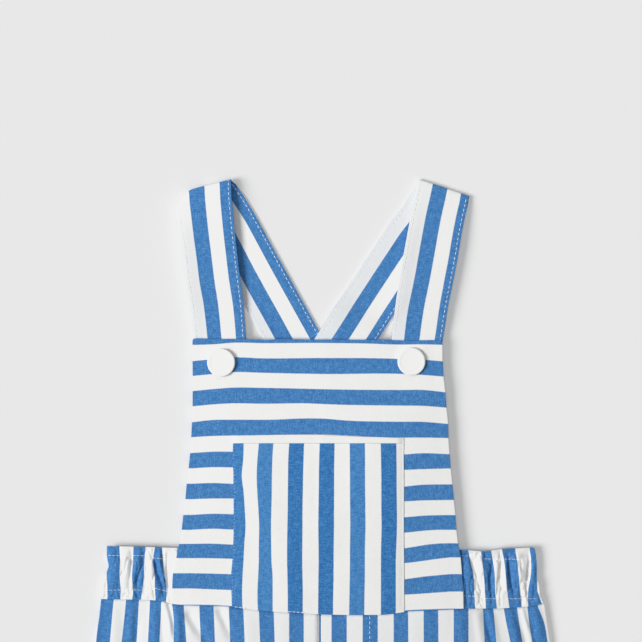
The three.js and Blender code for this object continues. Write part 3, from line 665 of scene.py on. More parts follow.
# Trouser fronts, left then right
LEG_CREASES = (
    ([(-99.8, 5.5), (-97.2, -0.7), (-95.6, -7.9), (-94.1, -20)], 1.2, -1.5, 0.8),
    ([(-102.8, 6.0), (-100.4, -2), (-98.6, -9), (-97, -24)], 1.8, 0.9, 0.2),
    ([(-102.8, 5), (-102.4, -6), (-101.6, -22), (-101.6, -52)], 3.0, -0.9, 0.2),
    ([(-93.5, 3.5), (-92.6, -6), (-92.4, -22), (-93, -44)], 2.6, 0.9, 0.0),
    ([(-107.6, 5), (-107.8, -12), (-108, -40)], 2.8, 0.6, 0.0),
    ([(-118.6, 5), (-119.2, -8), (-121, -30)], 2.2, -0.5, 0.2),
    ([(-126.4, 5), (-126.8, -5.2), (-128.8, -20.9), (-131, -44)], 2.4, -0.35, 0.2),
    ([(-133.5, 5), (-135, -12), (-138, -40)], 3.4, 0.3, 0.0),
    ([(-122.2, 5), (-123.2, -10), (-125, -36)], 2.6, 0.5, 0.0),
    ([(-87, 0.5), (-82.2, -8.5), (-77.4, -16.5), (-71, -25)], 3.0, -1.0, 0.1),
    ([(-91, -1), (-86.8, -9), (-82, -17)], 2.2, 0.4, 0.0),
    ([(-66.8, 2.2), (-63.8, -5), (-59.8, -13.5), (-55, -24)], 2.8, -0.8, 0.1),
    ([(-70.4, 1.4), (-67, -6), (-63, -14)], 2.2, 0.3, 0.0),
    ([(-47, -2), (-46, -16), (-46, -34)], 5, 0.25, 0.0),
    ([(-26, -3), (-24, -18), (-23, -40)], 6, 0.2, 0.0),
    ([(106.2, 1.5), (107.8, -6.5), (109.9, -14.4), (112.2, -22.2), (114.5, -36)], 0.9, -1.4, 0.9),
    ([(110.5, 1), (112.4, -9), (115.4, -24), (118, -40)], 2.2, 0.7, 0.0),
    ([(102, 1), (103.4, -9), (105.6, -24), (107, -40)], 2.6, 0.5, 0.0),
    ([(128.0, 1.5), (130.1, -7.8), (133.3, -17.0), (136, -30)], 2.2, -0.9, 0.3),
    ([(133.8, 2), (135.9, -5.9), (139, -15.7), (142, -30)], 1.6, -0.8, 0.5),
    ([(123.4, 1), (125.6, -9), (129, -24), (131, -40)], 2.6, 0.7, 0.0),
    ([(139.2, 2.5), (142.4, -8), (145, -22)], 2.6, 0.6, 0.0),
    ([(131.4, 1.5), (133.4, -6), (136.4, -16)], 1.4, 0.6, 0.0),
    ([(86.9, 0.2), (87.6, -14.4)], 3, -0.2, 0.0),
    ([(91, 0), (92.5, -18), (94, -40)], 4, 0.35, 0.0),
    ([(60, -2), (61, -20), (61, -44)], 6, 0.2, 0.0),
    # Guessed folds below the picture's edge: across the thigh and behind the knee
    ([(-128, -176), (-96, -190), (-52, -197), (-20, -196)], 9, 0.9, 0.0),
    ([(-124, -196), (-90, -208), (-56, -212)], 7, -0.7, 0.0),
    ([(-22, -160), (-40, -134), (-66, -112)], 8, -0.6, 0.0),
    ([(22, -158), (44, -130), (72, -106)], 8, -0.6, 0.0),
    ([(20, -192), (58, -196), (100, -186), (132, -170)], 9, 0.9, 0.0),
    ([(58, -214), (94, -208), (126, -194)], 7, -0.7, 0.0),
    ([(-132, -330), (-96, -346), (-50, -352), (-22, -344)], 9, 0.8, 0.0),
    ([(-120, -358), (-84, -368), (-44, -366)], 7, -0.6, 0.0),
    ([(20, -340), (54, -350), (96, -340), (134, -320)], 9, 0.8, 0.0),
    ([(40, -366), (84, -364), (118, -350)], 7, -0.6, 0.0),
    ([(-110, -450), (-70, -462), (-34, -458)], 8, 0.5, 0.0),
    ([(34, -470), (74, -474), (116, -462)], 8, 0.5, 0.0),
)
BIB_CREASES = (
    ([(-73, 172), (-70, 164), (-71, 152)], 3.2, 0.35, 0.0),
    ([(-58, 176), (-56.5, 168), (-52, 158)], 3.0, -0.3, 0.0),
    ([(66, 174), (68, 162), (66, 150)], 3.0, 0.3, 0.0),
    ([(52, 175), (50, 166), (47, 156)], 3.0, -0.3, 0.0),
    ([(31.5, 120), (31.8, 110)], 1.6, -0.25, 0.2),
    ([(-84, 66), (-70, 62), (-60, 64)], 5, 0.25, 0.0),
    ([(62, 40), (74, 34), (88, 36)], 5, 0.25, 0.0),
    ([(-20, 150), (10, 140), (40, 146)], 9, 0.2, 0.0),
)
print("creases placed by hand:", sum(map(len, (
    LEFT_BAND_CREASES, RIGHT_BAND_CREASES, LEG_CREASES, BIB_CREASES))))

# %% [markdown]
# ## Bib, pocket and pocket band
#
# The bib lies over the strap ends and the waistband, so its middle is nearly flat and only its side
# edges sink a little where nothing lies beneath. The pocket repeats the bib's form one cloth higher.
# Its sides are sewn down and pressed, so they lie lower than its middle.


# %% Lay a flat panel as a shell
def panel_grid(width, length, step_across, step_down):
    """Shares of the way across and down a panel, and the distance to its nearest edge."""
    s, t = np.meshgrid(ticks(width, step_across) / width, ticks(length, step_down) / length)
    edge = np.minimum(np.minimum(s, 1 - s) * width, np.minimum(t, 1 - t) * length)
    return s, t, edge


def panel(
    name, nodes, x, y, top, edge, material, across, along, hem=0.0, thin=SHELL, deep=CLOTH, painted_shade=0.0,
    paler=0.0,
):
    """top is the height of the upper face, edge the distance from the nearest finished edge, paler how
    much paler its blue is. The argument before paler sets a bluish-grey tint of the white, a painted
    shade."""
    turned = ease(hem + 0.5, hem - 0.5, edge) if hem else np.zeros(np.shape(edge))
    thickness = mix(thin, deep, turned)
    rim = (1 - rounding(edge)) * thickness
    upper = np.stack([x, y, top - RIM_DROP * rim], -1)
    underside = np.maximum(top - thickness + (1 - RIM_DROP) * rim, FLOOR_CLEARANCE)
    lower = np.stack([x, y, underside], -1)
    cloth = np.stack([across, along], -1)
    tint, fade = np.full(x.shape, painted_shade), paler + np.zeros(x.shape)
    piece = shell(name, upper, lower, cloth, cloth, material, (tint, tint), (fade, fade))
    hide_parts(*nodes)
    return piece, upper


def seam_y(x):
    """Where the waist seam runs, up or down the garment."""
    return look_up(WAIST_SEAM, x)


def bib_underside(x, y):
    """The bib's inner face, lower along its free sides."""
    side = np.where(x < 0, ease(58, 84, -x), 2.0 * ease(40, 100, x) - 1.2 * ease(-30, 40, x))
    nothing_beneath = ease(142, 122, y) * ease(48, 68, y)
    wave = 0.12 * np.sin(x / 19 + 0.6) * np.sin(y / 24 + 1.1) * ease(0, 20, y)
    return BIB_UNDERSIDE + 0.12 + wave - 0.6 * side * nothing_beneath


def bib_top(x, y):
    """The bib's outer face, with its creases."""
    uneven = ripple(x, y, 3, 34, 0.12) + creases(x, y, BIB_CREASES)
    return bib_underside(x, y) + CLOTH + uneven


def corner_inset(distance, radius):
    """How far a rounded corner lies inside a square one, at a distance from the end."""
    share = np.clip(distance / radius, 0, 1)
    return radius * (1 - np.sqrt(1 - (1 - share) ** 2))


BIB_WIDTH, BIB_LENGTH = 176.0, 174.0
BIB_CORNER_RADIUS = 1.8
level = np.array([(row[1] + row[3]) / 2 for row in BIB_SECTIONS])
down = (level[0] - level) / (level[0] - level[-1])
s, t, bib_edge = panel_grid(BIB_WIDTH, BIB_LENGTH, 2.4, 2.0)
left_x, left_y, right_x, right_y = (
    np.interp(t, down, [row[i] for row in BIB_SECTIONS]) for i in range(4)
)
inset = corner_inset(t * BIB_LENGTH, BIB_CORNER_RADIUS)
x = mix(left_x + inset, right_x - inset, s)
foot = ease(0.9, 1.0, t)
y = mix(left_y, right_y, s)
under_pocket = 0.7 * ease(56.5, 54.5, np.abs(x))
y = mix(y, seam_y(x) + under_pocket, foot)
y = y + (0.5 + ripple(x, 0 * x, 11, 40, 0.25)) * ease(0.03, 0, t)  # the top edge isn't quite straight
hem_pull = -0.12 * np.exp(-(((bib_edge - 5.5) / 1.2) ** 2)) * (t < 0.97)
pushed = sum(
    far * np.exp(-(((x - at_x) / wide) ** 2) - ((y - at_y) / tall) ** 2)
    for at_x, at_y, wide, tall, far in BIB_STRIPE_PUSHES
)
bib, bib_surface = panel(
    "bib_front_cloth", ["bib_front"], x, y, bib_top(x, y) + hem_pull, bib_edge, striped_cotton,
    stripe_place(y - pushed, x, BIB_STRIPE_X, BIB_STRIPES), x / STRIPE_PAIR, hem=6,
)
print("bib:", bib_surface.shape[:2], "grid")

# %% Pocket and the white band along its top
POCKET_WIDTH, POCKET_HEIGHT = 111.0, 110.0
POCKET_STEP = 2.4
POCKET_TOP_Y = 107.9  # under the white band
s, t, _ = panel_grid(POCKET_WIDTH, POCKET_HEIGHT, POCKET_STEP, 2.2)
y = mix(POCKET_TOP_Y, -4.0, t)
x = mix(look_up(POCKET_SECTIONS, y, 1), look_up(POCKET_SECTIONS, y, 2), s)
y = mix(POCKET_TOP_Y, seam_y(x), t)
pocket_edge = np.minimum(np.minimum(s, 1 - s) * POCKET_WIDTH, (1 - t) * POCKET_HEIGHT)


def pocket_top(x, y):
    """The pocket's outer face: the bib's, one cloth higher, with a slight belly."""
    belly = 0.25 * ease(0, 40, x + 56) * ease(0, 40, 54 - x) * ease(0, 30, 108 - y)
    return bib_top(x, y) + SEAM_GAP / 2 + CLOTH * 0.8 + belly + ripple(x, y, 5, 26, 0.1)


stitched = -0.04 * np.exp(-(((pocket_edge - 1.2) / 0.7) ** 2))
puckers = 0.05 * np.sin(2 * np.pi * y / 3.4) * np.exp(-((pocket_edge / 2.6) ** 2))
pressed = mix(-0.4, -0.5, ease(0, 20, x)) * ease(5.5, 0, pocket_edge)
pocket, pocket_surface = panel(
    "bib_pocket_cloth", ["bib_pocket"], x, y, pocket_top(x, y) + stitched + puckers + pressed,
    np.minimum(pocket_edge, t * POCKET_HEIGHT + 0.3), pocket_cotton,
    stripe_place(x, y, POCKET_STRIPE_Y, POCKET_STRIPES), y / STRIPE_PAIR, hem=5,
    paler=look_up(POCKET_PALER, x),
)
POCKET_BAND_HEIGHT = 5.2
s, t, _ = panel_grid(POCKET_WIDTH, 8, POCKET_STEP, 1.0)
band_top = look_up(POCKET_TOP, mix(-56.6, 54.6, s))
y = mix(band_top, 108.1, t)
x = mix(-56.8, 54.7, s)
from_side = np.minimum(s, 1 - s) * POCKET_WIDTH
band_edge = np.minimum(from_side, np.minimum(t, 1 - t) * POCKET_BAND_HEIGHT)
crumpled = ripple(x, 2 * y, 8, 9, 0.1) * ease(0, 1.5, band_edge)
pocket_band, _ = panel(
    "pocket_top_band_cloth", ["pocket_top_band"], x, y,
    pocket_top(x, y) + 0.3 + crumpled - 0.9 * ease(4, 0, from_side), band_edge, white_cotton,
    x / STRIPE_PAIR, y / STRIPE_PAIR, thin=CLOTH, deep=CLOTH,
)

# %% [markdown]
# ## Trousers
#
# Two fronts over two backs. The right front laps over the left one at the fly. The fronts arch a
# little over the backs, which lie flat on the table. The grid of a front is close at the waist, where
# the gathers end, and open below it, so that the fine creases get the points that they need.

# %% Named sizes of the trousers
FLY_STEP = 1.5
TUCK = 2.5  # how far the trousers run on under the waist seam
TUCK_TOP = 2.6  # how high they reach there beneath the waistband
LEG_CREASE_DEPTH = 1.5  # the crease tables' heights times this
LEG_WIDTH = 150.0
FRONT_LENGTH, BACK_LENGTH = 575.0, 566.0
LEG_SLOPE = 35.0  # how far in from its edges a leg reaches its full height
WAIST_SLOPE = 75.0  # how far below the waist a front begins to rise to it
BIB_TO_BAND = (92, 114)  # over this stretch from the middle the waist seam sinks to the waistband
TUCK_DROP_AT_BIB, TUCK_DROP_AT_BAND = 1.4, 0.9
CLOSE_LENGTH = 70.0  # how far down a front its grid stays close
FAR_ROWS = 150
SIDE_SEAM_TOP_Y = {-1: 6.5, 1: 3.3}  # left, right
FLY_UNDERLAP = 6.6  # how far the left front runs on beneath the right one


# %% Heights of the trouser fronts
def outer_x(side, y):
    """The side seam. Side is -1 for the picture's left and 1 for its right."""
    return look_up(LEG_SECTIONS, y, 1 if side < 0 else 2)


def front_underside(side, x, y):
    """A trouser front's underside: low at its edges, arched between, and carried at the waist."""
    reach = np.abs(x)
    outside = np.abs(outer_x(side, y)) - reach
    inside = np.where(
        y < CROTCH_Y, reach - look_up(LEG_SECTIONS, y, 3), np.hypot(reach, y - CROTCH_Y)
    )
    inner_edge = LEG_EDGE_UNDERSIDE + 1.6 * ease(CROTCH_Y - 40, CROTCH_Y, y)
    leg = np.minimum(
        mix(LEG_EDGE_UNDERSIDE, LEG_MIDDLE_UNDERSIDE, ease(0, LEG_SLOPE, outside)),
        mix(inner_edge, LEG_MIDDLE_UNDERSIDE, ease(0, LEG_SLOPE, inside)),
    )
    waist = mix(BIB_UNDERSIDE, BAND_UNDERSIDE, ease(*BIB_TO_BAND, reach))
    folds = LEG_CREASE_DEPTH * creases(x, y, LEG_CREASES) * ease(0, 5, outside)
    uneven = folds + ripple(x, y, 21, 60, 0.25)
    beneath = mix(LEG_EDGE_UNDERSIDE, BAND_UNDERSIDE, ease(-16, -5, y))
    height = mix(leg, waist, ease(-WAIST_SLOPE, 0, y)) + uneven * ease(0, 3, outside)
    return np.maximum(height, beneath)


def front_panel(side):
    """One trouser front, its top tucked under the waist seam."""
    near = np.arange(0, CLOSE_LENGTH, 1.5)
    far = np.linspace(CLOSE_LENGTH, FRONT_LENGTH - 4, FAR_ROWS)
    down = np.concatenate([
        EDGE_TICKS[:-1], near[near > 2.6], far, FRONT_LENGTH - EDGE_TICKS[:-2][::-1]
    ])
    s, t = np.meshgrid(ticks(LEG_WIDTH, 1.0) / LEG_WIDTH, down / FRONT_LENGTH)
    top_y = SIDE_SEAM_TOP_Y[side]
    y = mix(top_y, HEM_Y, t)
    inner = look_up(LEG_SECTIONS, y, 3)
    if side < 0:
        inner_x = np.where(y > CROTCH_Y + 1, FLY_UNDERLAP, -np.maximum(inner, 0.3))
        x = mix(outer_x(side, y), inner_x, s)
    else:
        x = mix(np.maximum(inner, 0.6), outer_x(side, y), s)
    tuck = TUCK * ease(0.5, 5, np.abs(outer_x(side, y)) - np.abs(x))
    y = y + (seam_y(x) + tuck - top_y) * ease(-60, 0, y)
    top = front_underside(side, np.minimum(x, 0) if side < 0 else x, y) + CLOTH
    if side < 0:
        # It sinks beneath the right front, softly at first and then at once
        fly = 0.7 * ease(-3.5, 0, x) + 0.7 * ease(-1.4, -0.3, x)
        top = top - FLY_STEP * fly * ease(CROTCH_Y - 14, CROTCH_Y - 2, y)
    edge = np.minimum(np.minimum(s, 1 - s) * LEG_WIDTH, np.minimum(t, 1 - t) * FRONT_LENGTH)
    keys, edges = (
        (LEFT_LEG_STRIPE_Y, LEFT_LEG_STRIPES) if side < 0 else (RIGHT_LEG_STRIPE_Y, RIGHT_LEG_STRIPES)
    )
    past = y - seam_y(x)
    drop = mix(TUCK_DROP_AT_BIB, TUCK_DROP_AT_BAND, ease(*BIB_TO_BAND, np.abs(x)))
    tucked = drop * ease(-0.6, 0.5, past)
    waist_valley = 0.35 * np.exp(-((past / 1.3) ** 2))
    hem_valley = 0.25 * np.exp(-(((y - HEM_SEAM_Y) / 1.2) ** 2))
    top = top + (-tucked - waist_valley - hem_valley)
    # Beneath the waistband the tuck sinks below the deepest furrow
    under_band = ease(-0.6, 0.3, past) * ease(88.5, 91.5, np.abs(x))
    top = mix(top, np.minimum(top, TUCK_TOP), under_band)
    name = "front_left_leg" if side < 0 else "front_right_leg"
    # The fronts' white gets a light bluish-grey tint, which is painted shade
    return panel(
        name + "_cloth", [name], x, y, top, edge, striped_cotton,
        stripe_place(x, y, keys, edges, 0.5), y / STRIPE_PAIR, hem=5, painted_shade=0.2,
    )


left_front, left_front_surface = front_panel(-1)
right_front, right_front_surface = front_panel(1)


def back_panel(side):
    """One trouser back, flat on the table."""
    s, t, edge = panel_grid(LEG_WIDTH, BACK_LENGTH, 4.0, 5.0)
    y = mix(BACK_BAND_FOOT_Y - SEAM_GAP, HEM_Y, t)
    inner = np.maximum(look_up(LEG_SECTIONS, y, 3), SEAM_GAP / 2)
    x = side * mix(inner, np.abs(outer_x(side, y)), s if side > 0 else 1 - s)
    low = ripple(x, y, 31 + side, 50, 0.12) * ease(0, 12, edge)
    name = "back_left_leg" if side < 0 else "back_right_leg"
    return panel(
        name + "_cloth", [name], x, y, CLOTH - 0.15 + low, edge, striped_cotton,
        x / STRIPE_PAIR + 0.25, y / STRIPE_PAIR, hem=5, thin=0.85, deep=0.89,
    )


left_back, _ = back_panel(-1)
right_back, _ = back_panel(1)

# %% [markdown]
# ## Waistband
#
# Two rows of stitches hold the elastic. Between them the gathers puff up, at the rows they are held
# down, and above the upper row they stand free as a narrow frill. An elastic could be simulated, but
# its gathers would fall where they like, and these ones have their places.

# %% Tables of the waistband
BAND_WIDTH, BAND_HEIGHT = 54.0, 38.0
BAND_INNER_X = 88.0  # where a front stretch ends beneath the bib
BAND_CREASE_DEPTH = 1.9
BAND_LOWEST = BAND_UNDERSIDE + 0.45  # no furrow's upper face lies lower
PULLED_DEPTH = 0.35
# The top edge: x, y
LEFT_BAND_TOP = ((-139, 40.9), (-115, 40.4), (-94, 39.7), (-88, 39.5))
RIGHT_BAND_TOP = ((88, 38.4), (98, 38.1), (107.8, 37.3), (118, 38.9), (137, 39.9), (140, 39.4))
# Where the elastic pulls the cloth down, upper and lower row: x, y
LEFT_PULLED = (
    ((-139.2, 34.8), (-113.7, 34.6), (-107.8, 33.0), (-88, 32.9)),
    ((-139.2, 12.2), (-115.7, 12.2), (-107.2, 13.5), (-100, 11.3)),
)
RIGHT_PULLED = (
    ((91.2, 34.4), (96.4, 34.4), (105.2, 32.5), (140.5, 32.2)),
    ((94.1, 8.5), (99.3, 8.2), (107.2, 6.6), (141.8, 6.6)),
)


# %% Front stretches of the waistband
def band_panel(side):
    """One front stretch of the waistband, from the side seam to beneath the bib."""
    s, t, edge = panel_grid(BAND_WIDTH, BAND_HEIGHT, 0.6, 0.8)
    rough_y = mix(BAND_TOP_Y, 3.0, t)
    if side < 0:
        name, creased, pulled, top_line = (
            "waistband_front_left", LEFT_BAND_CREASES, LEFT_PULLED, LEFT_BAND_TOP
        )
        keys, edges = LEFT_BAND_STRIPE_Y, LEFT_BAND_STRIPES
        x = mix(look_up(BAND_EDGES, rough_y, 1), -BAND_INNER_X, s)
    else:
        name, creased, pulled, top_line = (
            "waistband_front_right", RIGHT_BAND_CREASES, RIGHT_PULLED, RIGHT_BAND_TOP
        )
        keys, edges = RIGHT_BAND_STRIPE_Y, RIGHT_BAND_STRIPES
        x = mix(BAND_INNER_X, look_up(BAND_EDGES, rough_y, 2), s)
    y = mix(look_up(top_line, x), seam_y(x), t)
    held = sum(np.exp(-(((y - look_up(row, x)) / 1.3) ** 2)) for row in pulled)
    puff = BAND_CREASE_DEPTH * creases(x, y, creased) * (1 - 0.35 * held) - PULLED_DEPTH * held
    # The frill stands up on the left and lies low on the right
    puff = puff + (1.0 if side < 0 else -0.7) * ease(24, 40, y)
    uneven = ripple(x, 0.3 * y, 41, 6, 0.18)
    # Sharp small furrows run where a slow, mostly upright unevenness passes through its middle
    uneven = uneven - 0.9 * np.exp(-((ripple(x, 0.35 * y, 61, 8, 1.0) / 0.2) ** 2))
    top = BAND_LOWEST + BAND_CLOTH + (puff + uneven) * ease(0, 2.5, edge)
    top = np.maximum(top, BAND_LOWEST)
    under_bib = ease(93.5, 89.5, np.abs(x))
    top = mix(top, np.minimum(top, BIB_UNDERSIDE - SEAM_GAP), under_bib)
    return panel(
        name + "_cloth", [name], x, y, top, edge, striped_cotton,
        stripe_place(x, y, keys, edges, 0.5), y / STRIPE_PAIR, thin=0.7,
    )


left_band, left_band_surface = band_panel(-1)
right_band, right_band_surface = band_panel(1)
print("waistband fronts:", left_band_surface.shape[:2], right_band_surface.shape[:2])

# %% The back stretch, with the same kind of gathers all along
BACK_BAND_WIDTH, BACK_BAND_HEIGHT = 283.0, 42.0
GATHERED_PAIR = 15.0  # a stripe pair that the elastic has drawn together
rng = np.random.default_rng(17)
back_creases = []
place = -136.0
while place < 138:
    lean = rng.uniform(-1.6, 1.6)
    bend = rng.uniform(-0.8, 0.8)
    line = [(place, 37), (place + bend, 20), (place + lean, 2)]
    back_creases.append((line, rng.uniform(0.8, 1.2), rng.uniform(-0.9, -0.5), 0.8))
    place += rng.uniform(6.5, 11.5)
s, t, edge = panel_grid(BACK_BAND_WIDTH, BACK_BAND_HEIGHT, 1.3, 1.3)
y = mix(36.6, BACK_BAND_FOOT_Y, t)
x = mix(look_up(BAND_EDGES, y, 1), look_up(BAND_EDGES, y, 2), s)
top = 1.9 + (creases(x, y, back_creases) + ripple(x, 0.3 * y, 43, 7, 0.1)) * ease(0, 2.5, edge)
waistband_back, _ = panel(
    "waistband_back_cloth", ["waistband_back"], x, y, np.clip(top, 0.9, 2.0), edge, striped_cotton,
    x / GATHERED_PAIR + 0.2, y / STRIPE_PAIR, thin=0.7, deep=0.7,
)

# %% [markdown]
# ## Straps
#
# Each strap is a turned tube pressed flat: two layers with rounded edges and a row of stitches close
# to both sides. It runs up the front, folds over at the shoulder and runs down behind, crossing the
# other strap. Its two faces are cut from different places in the cloth, so their stripes differ. It
# could be a curve with a flat profile. Rows of a left and a right point let its width, its lean and
# the line of its fold follow the photo.

# %% Tables of the straps: left x, left y, right x, right y, height of the cloth's middle
LEFT_FRONT = (
    (-79.7, 145.8, -45.8, 145.8, STRAP_UNDER_BIB), (-81.0, 160.8, -46.9, 160.8, STRAP_UNDER_BIB),
    (-82.1, 176.5, -48.4, 176.5, STRAP_UNDER_BIB), (-83.5, 188.9, -49.2, 188.9, 4.2),
    (-84.8, 200.7, -50.1, 200.7, 4.8), (-86.9, 211.8, -51.6, 211.8, 5.3),
    (-88.4, 226.1, -53.3, 226.1, 5.8), (-90.5, 240.5, -55.0, 241.5, 6.3),
    (-91.6, 249.5, -56.1, 252.0, 6.6), (-92.6, 257.2, -56.9, 261.2, 6.5),
    (-93.4, 263.2, -57.5, 269.0, 6.0),
)
LEFT_FOLD = (-94.4, 271.0, -58.1, 280.4)
LEFT_BACK = (
    (-91.5, 263.5, -54.7, 276.6, STRAP_LOW), (-81.0, 251.0, -48.4, 267.0, STRAP_LOW),
    (-71.1, 239.4, -42.2, 256.3, STRAP_LOW), (-56.1, 209.7, -26.2, 227.0, STRAP_LOW),
    (-41.0, 182.9, -11.7, 200.7, STRAP_LOW), (-27.5, 157.8, 2.1, 176.1, STRAP_LOW),
    (-9.9, 126.8, 19.6, 144.6, STRAP_LOW), (6.1, 97.4, 36.5, 115.0, STRAP_LOW),
    (21.9, 68.0, 52.4, 85.6, STRAP_LOW), (29.0, 54.0, 60.2, 70.0, 2.1),
    (35.9, 41.0, 67.3, 54.2, STRAP_ON_BAND), (42.5, 20.3, 79.5, 27.5, STRAP_ON_BAND),
)
RIGHT_FRONT = (
    (42.5, 145.8, 74.5, 145.8, STRAP_UNDER_BIB), (44.8, 160.8, 77.1, 160.8, STRAP_UNDER_BIB),
    (46.9, 176.5, 80.3, 176.5, STRAP_UNDER_BIB), (48.8, 196.1, 83.2, 196.1, 4.4),
    (51.2, 211.8, 86.1, 210.5, 4.6), (54.0, 228.8, 89.5, 227.5, 4.6),
    (56.7, 243.1, 92.0, 243.1, 4.4), (59.5, 258.2, 94.6, 256.0, 3.3),
    (62.7, 271.9, 96.5, 263.5, 2.4),
)
RIGHT_FOLD = (64.7, 280.5, 97.7, 269.3)
RIGHT_BACK = (
    (62.4, 275.9, 94.4, 262.0, STRAP_LOW), (54.1, 262.3, 86.3, 245.8, STRAP_LOW),
    (45.0, 251.0, 75.5, 232.7, STRAP_LOW), (32.3, 231.5, 61.6, 212.4, STRAP_LOW),
    (15.0, 205.2, 44.4, 186.1, STRAP_LOW), (7.5, 193.2, 36.9, 174.1, STRAP_CROSSING),
    (-3.5, 176.1, 25.8, 157.0, STRAP_CROSSING), (-17.3, 154.8, 12.0, 135.8, STRAP_CROSSING),
    (-31.4, 133.3, -2.0, 114.2, STRAP_CROSSING), (-38.4, 122.6, -9.0, 103.5, STRAP_CROSSING),
    (-49.9, 104.9, -20.6, 85.8, STRAP_LOW), (-59.5, 90.2, -30.1, 71.1, STRAP_LOW),
    (-70.6, 69.9, -38.6, 54.9, 1.2), (-79.1, 51.0, -44.4, 41.2, STRAP_ON_BAND),
    (-84.6, 21.6, -48.4, 18.3, STRAP_ON_BAND),
)
# Stripe edges in shares of the width, white beginning at the first: at the bib, up the front, inside
LEFT_STRIPES = (
    (-0.02, 0.26, 0.53, 0.81, 1.11),
    (-0.04, 0.24, 0.52, 0.79, 1.08),
    (-0.09, 0.20, 0.498, 0.78, 1.07),
)
RIGHT_STRIPES = (
    (-0.04, 0.24, 0.543, 0.84, 1.12),
    (-0.01, 0.277, 0.565, 0.835, 1.12),
    (0.0, 0.27, 0.54, 0.81, 1.09),
)
STRAP_WIDTH = 34.5
STRAP_STEP = 1.6
STRAP_SEAM_INSET = 1.8
FOLD_STEPS = 20


# %% Build a strap along its rows
def dense(rows, spacing, reach=6):
    """Rows of a table taken closer together and smoothed over their reach, the two ends kept."""
    rows = np.asarray(rows, float)
    middle = (rows[:, 0:2] + rows[:, 2:4]) / 2
    far = np.concatenate([[0], np.cumsum(np.hypot(*np.diff(middle, axis=0).T))])
    at = np.linspace(0, far[-1], max(3, round(far[-1] / spacing) + 1))
    out = np.stack([np.interp(at, far, rows[:, i]) for i in range(5)], -1)
    padded = np.concatenate([
        2 * out[0] - out[reach:0:-1], out, 2 * out[-1] - out[-2 : -reach - 2 : -1]
    ])
    kernel = np.hanning(2 * reach + 3)[1:-1]
    kernel /= kernel.sum()
    return np.stack([np.convolve(padded[:, i], kernel, "valid") for i in range(5)], -1)


def fold_rows(line, front_end, back_start):
    """Half a turn of the cloth that just reaches the line, between the rows that it joins."""
    x0, y0, x1, y1 = line
    length = np.hypot(x1 - x0, y1 - y0)
    away = np.array([-(y1 - y0) / length, (x1 - x0) / length] * 2)
    high, radius = front_end[4], (front_end[4] - STRAP_LOW) / 2
    rows = []
    for i in range(1, FOLD_STEPS):
        angle = np.pi * (0.5 - i / FOLD_STEPS)
        joined = mix(front_end[:4], back_start[:4], ease(0, 1, i / FOLD_STEPS))
        reached = np.array(line) - away * STRAP_CLOTH / 2
        bulge = np.cos(angle) ** 0.8
        rows.append([*mix(joined, reached, bulge), STRAP_LOW + radius * (1 + np.sin(angle))])
    return np.array(rows)


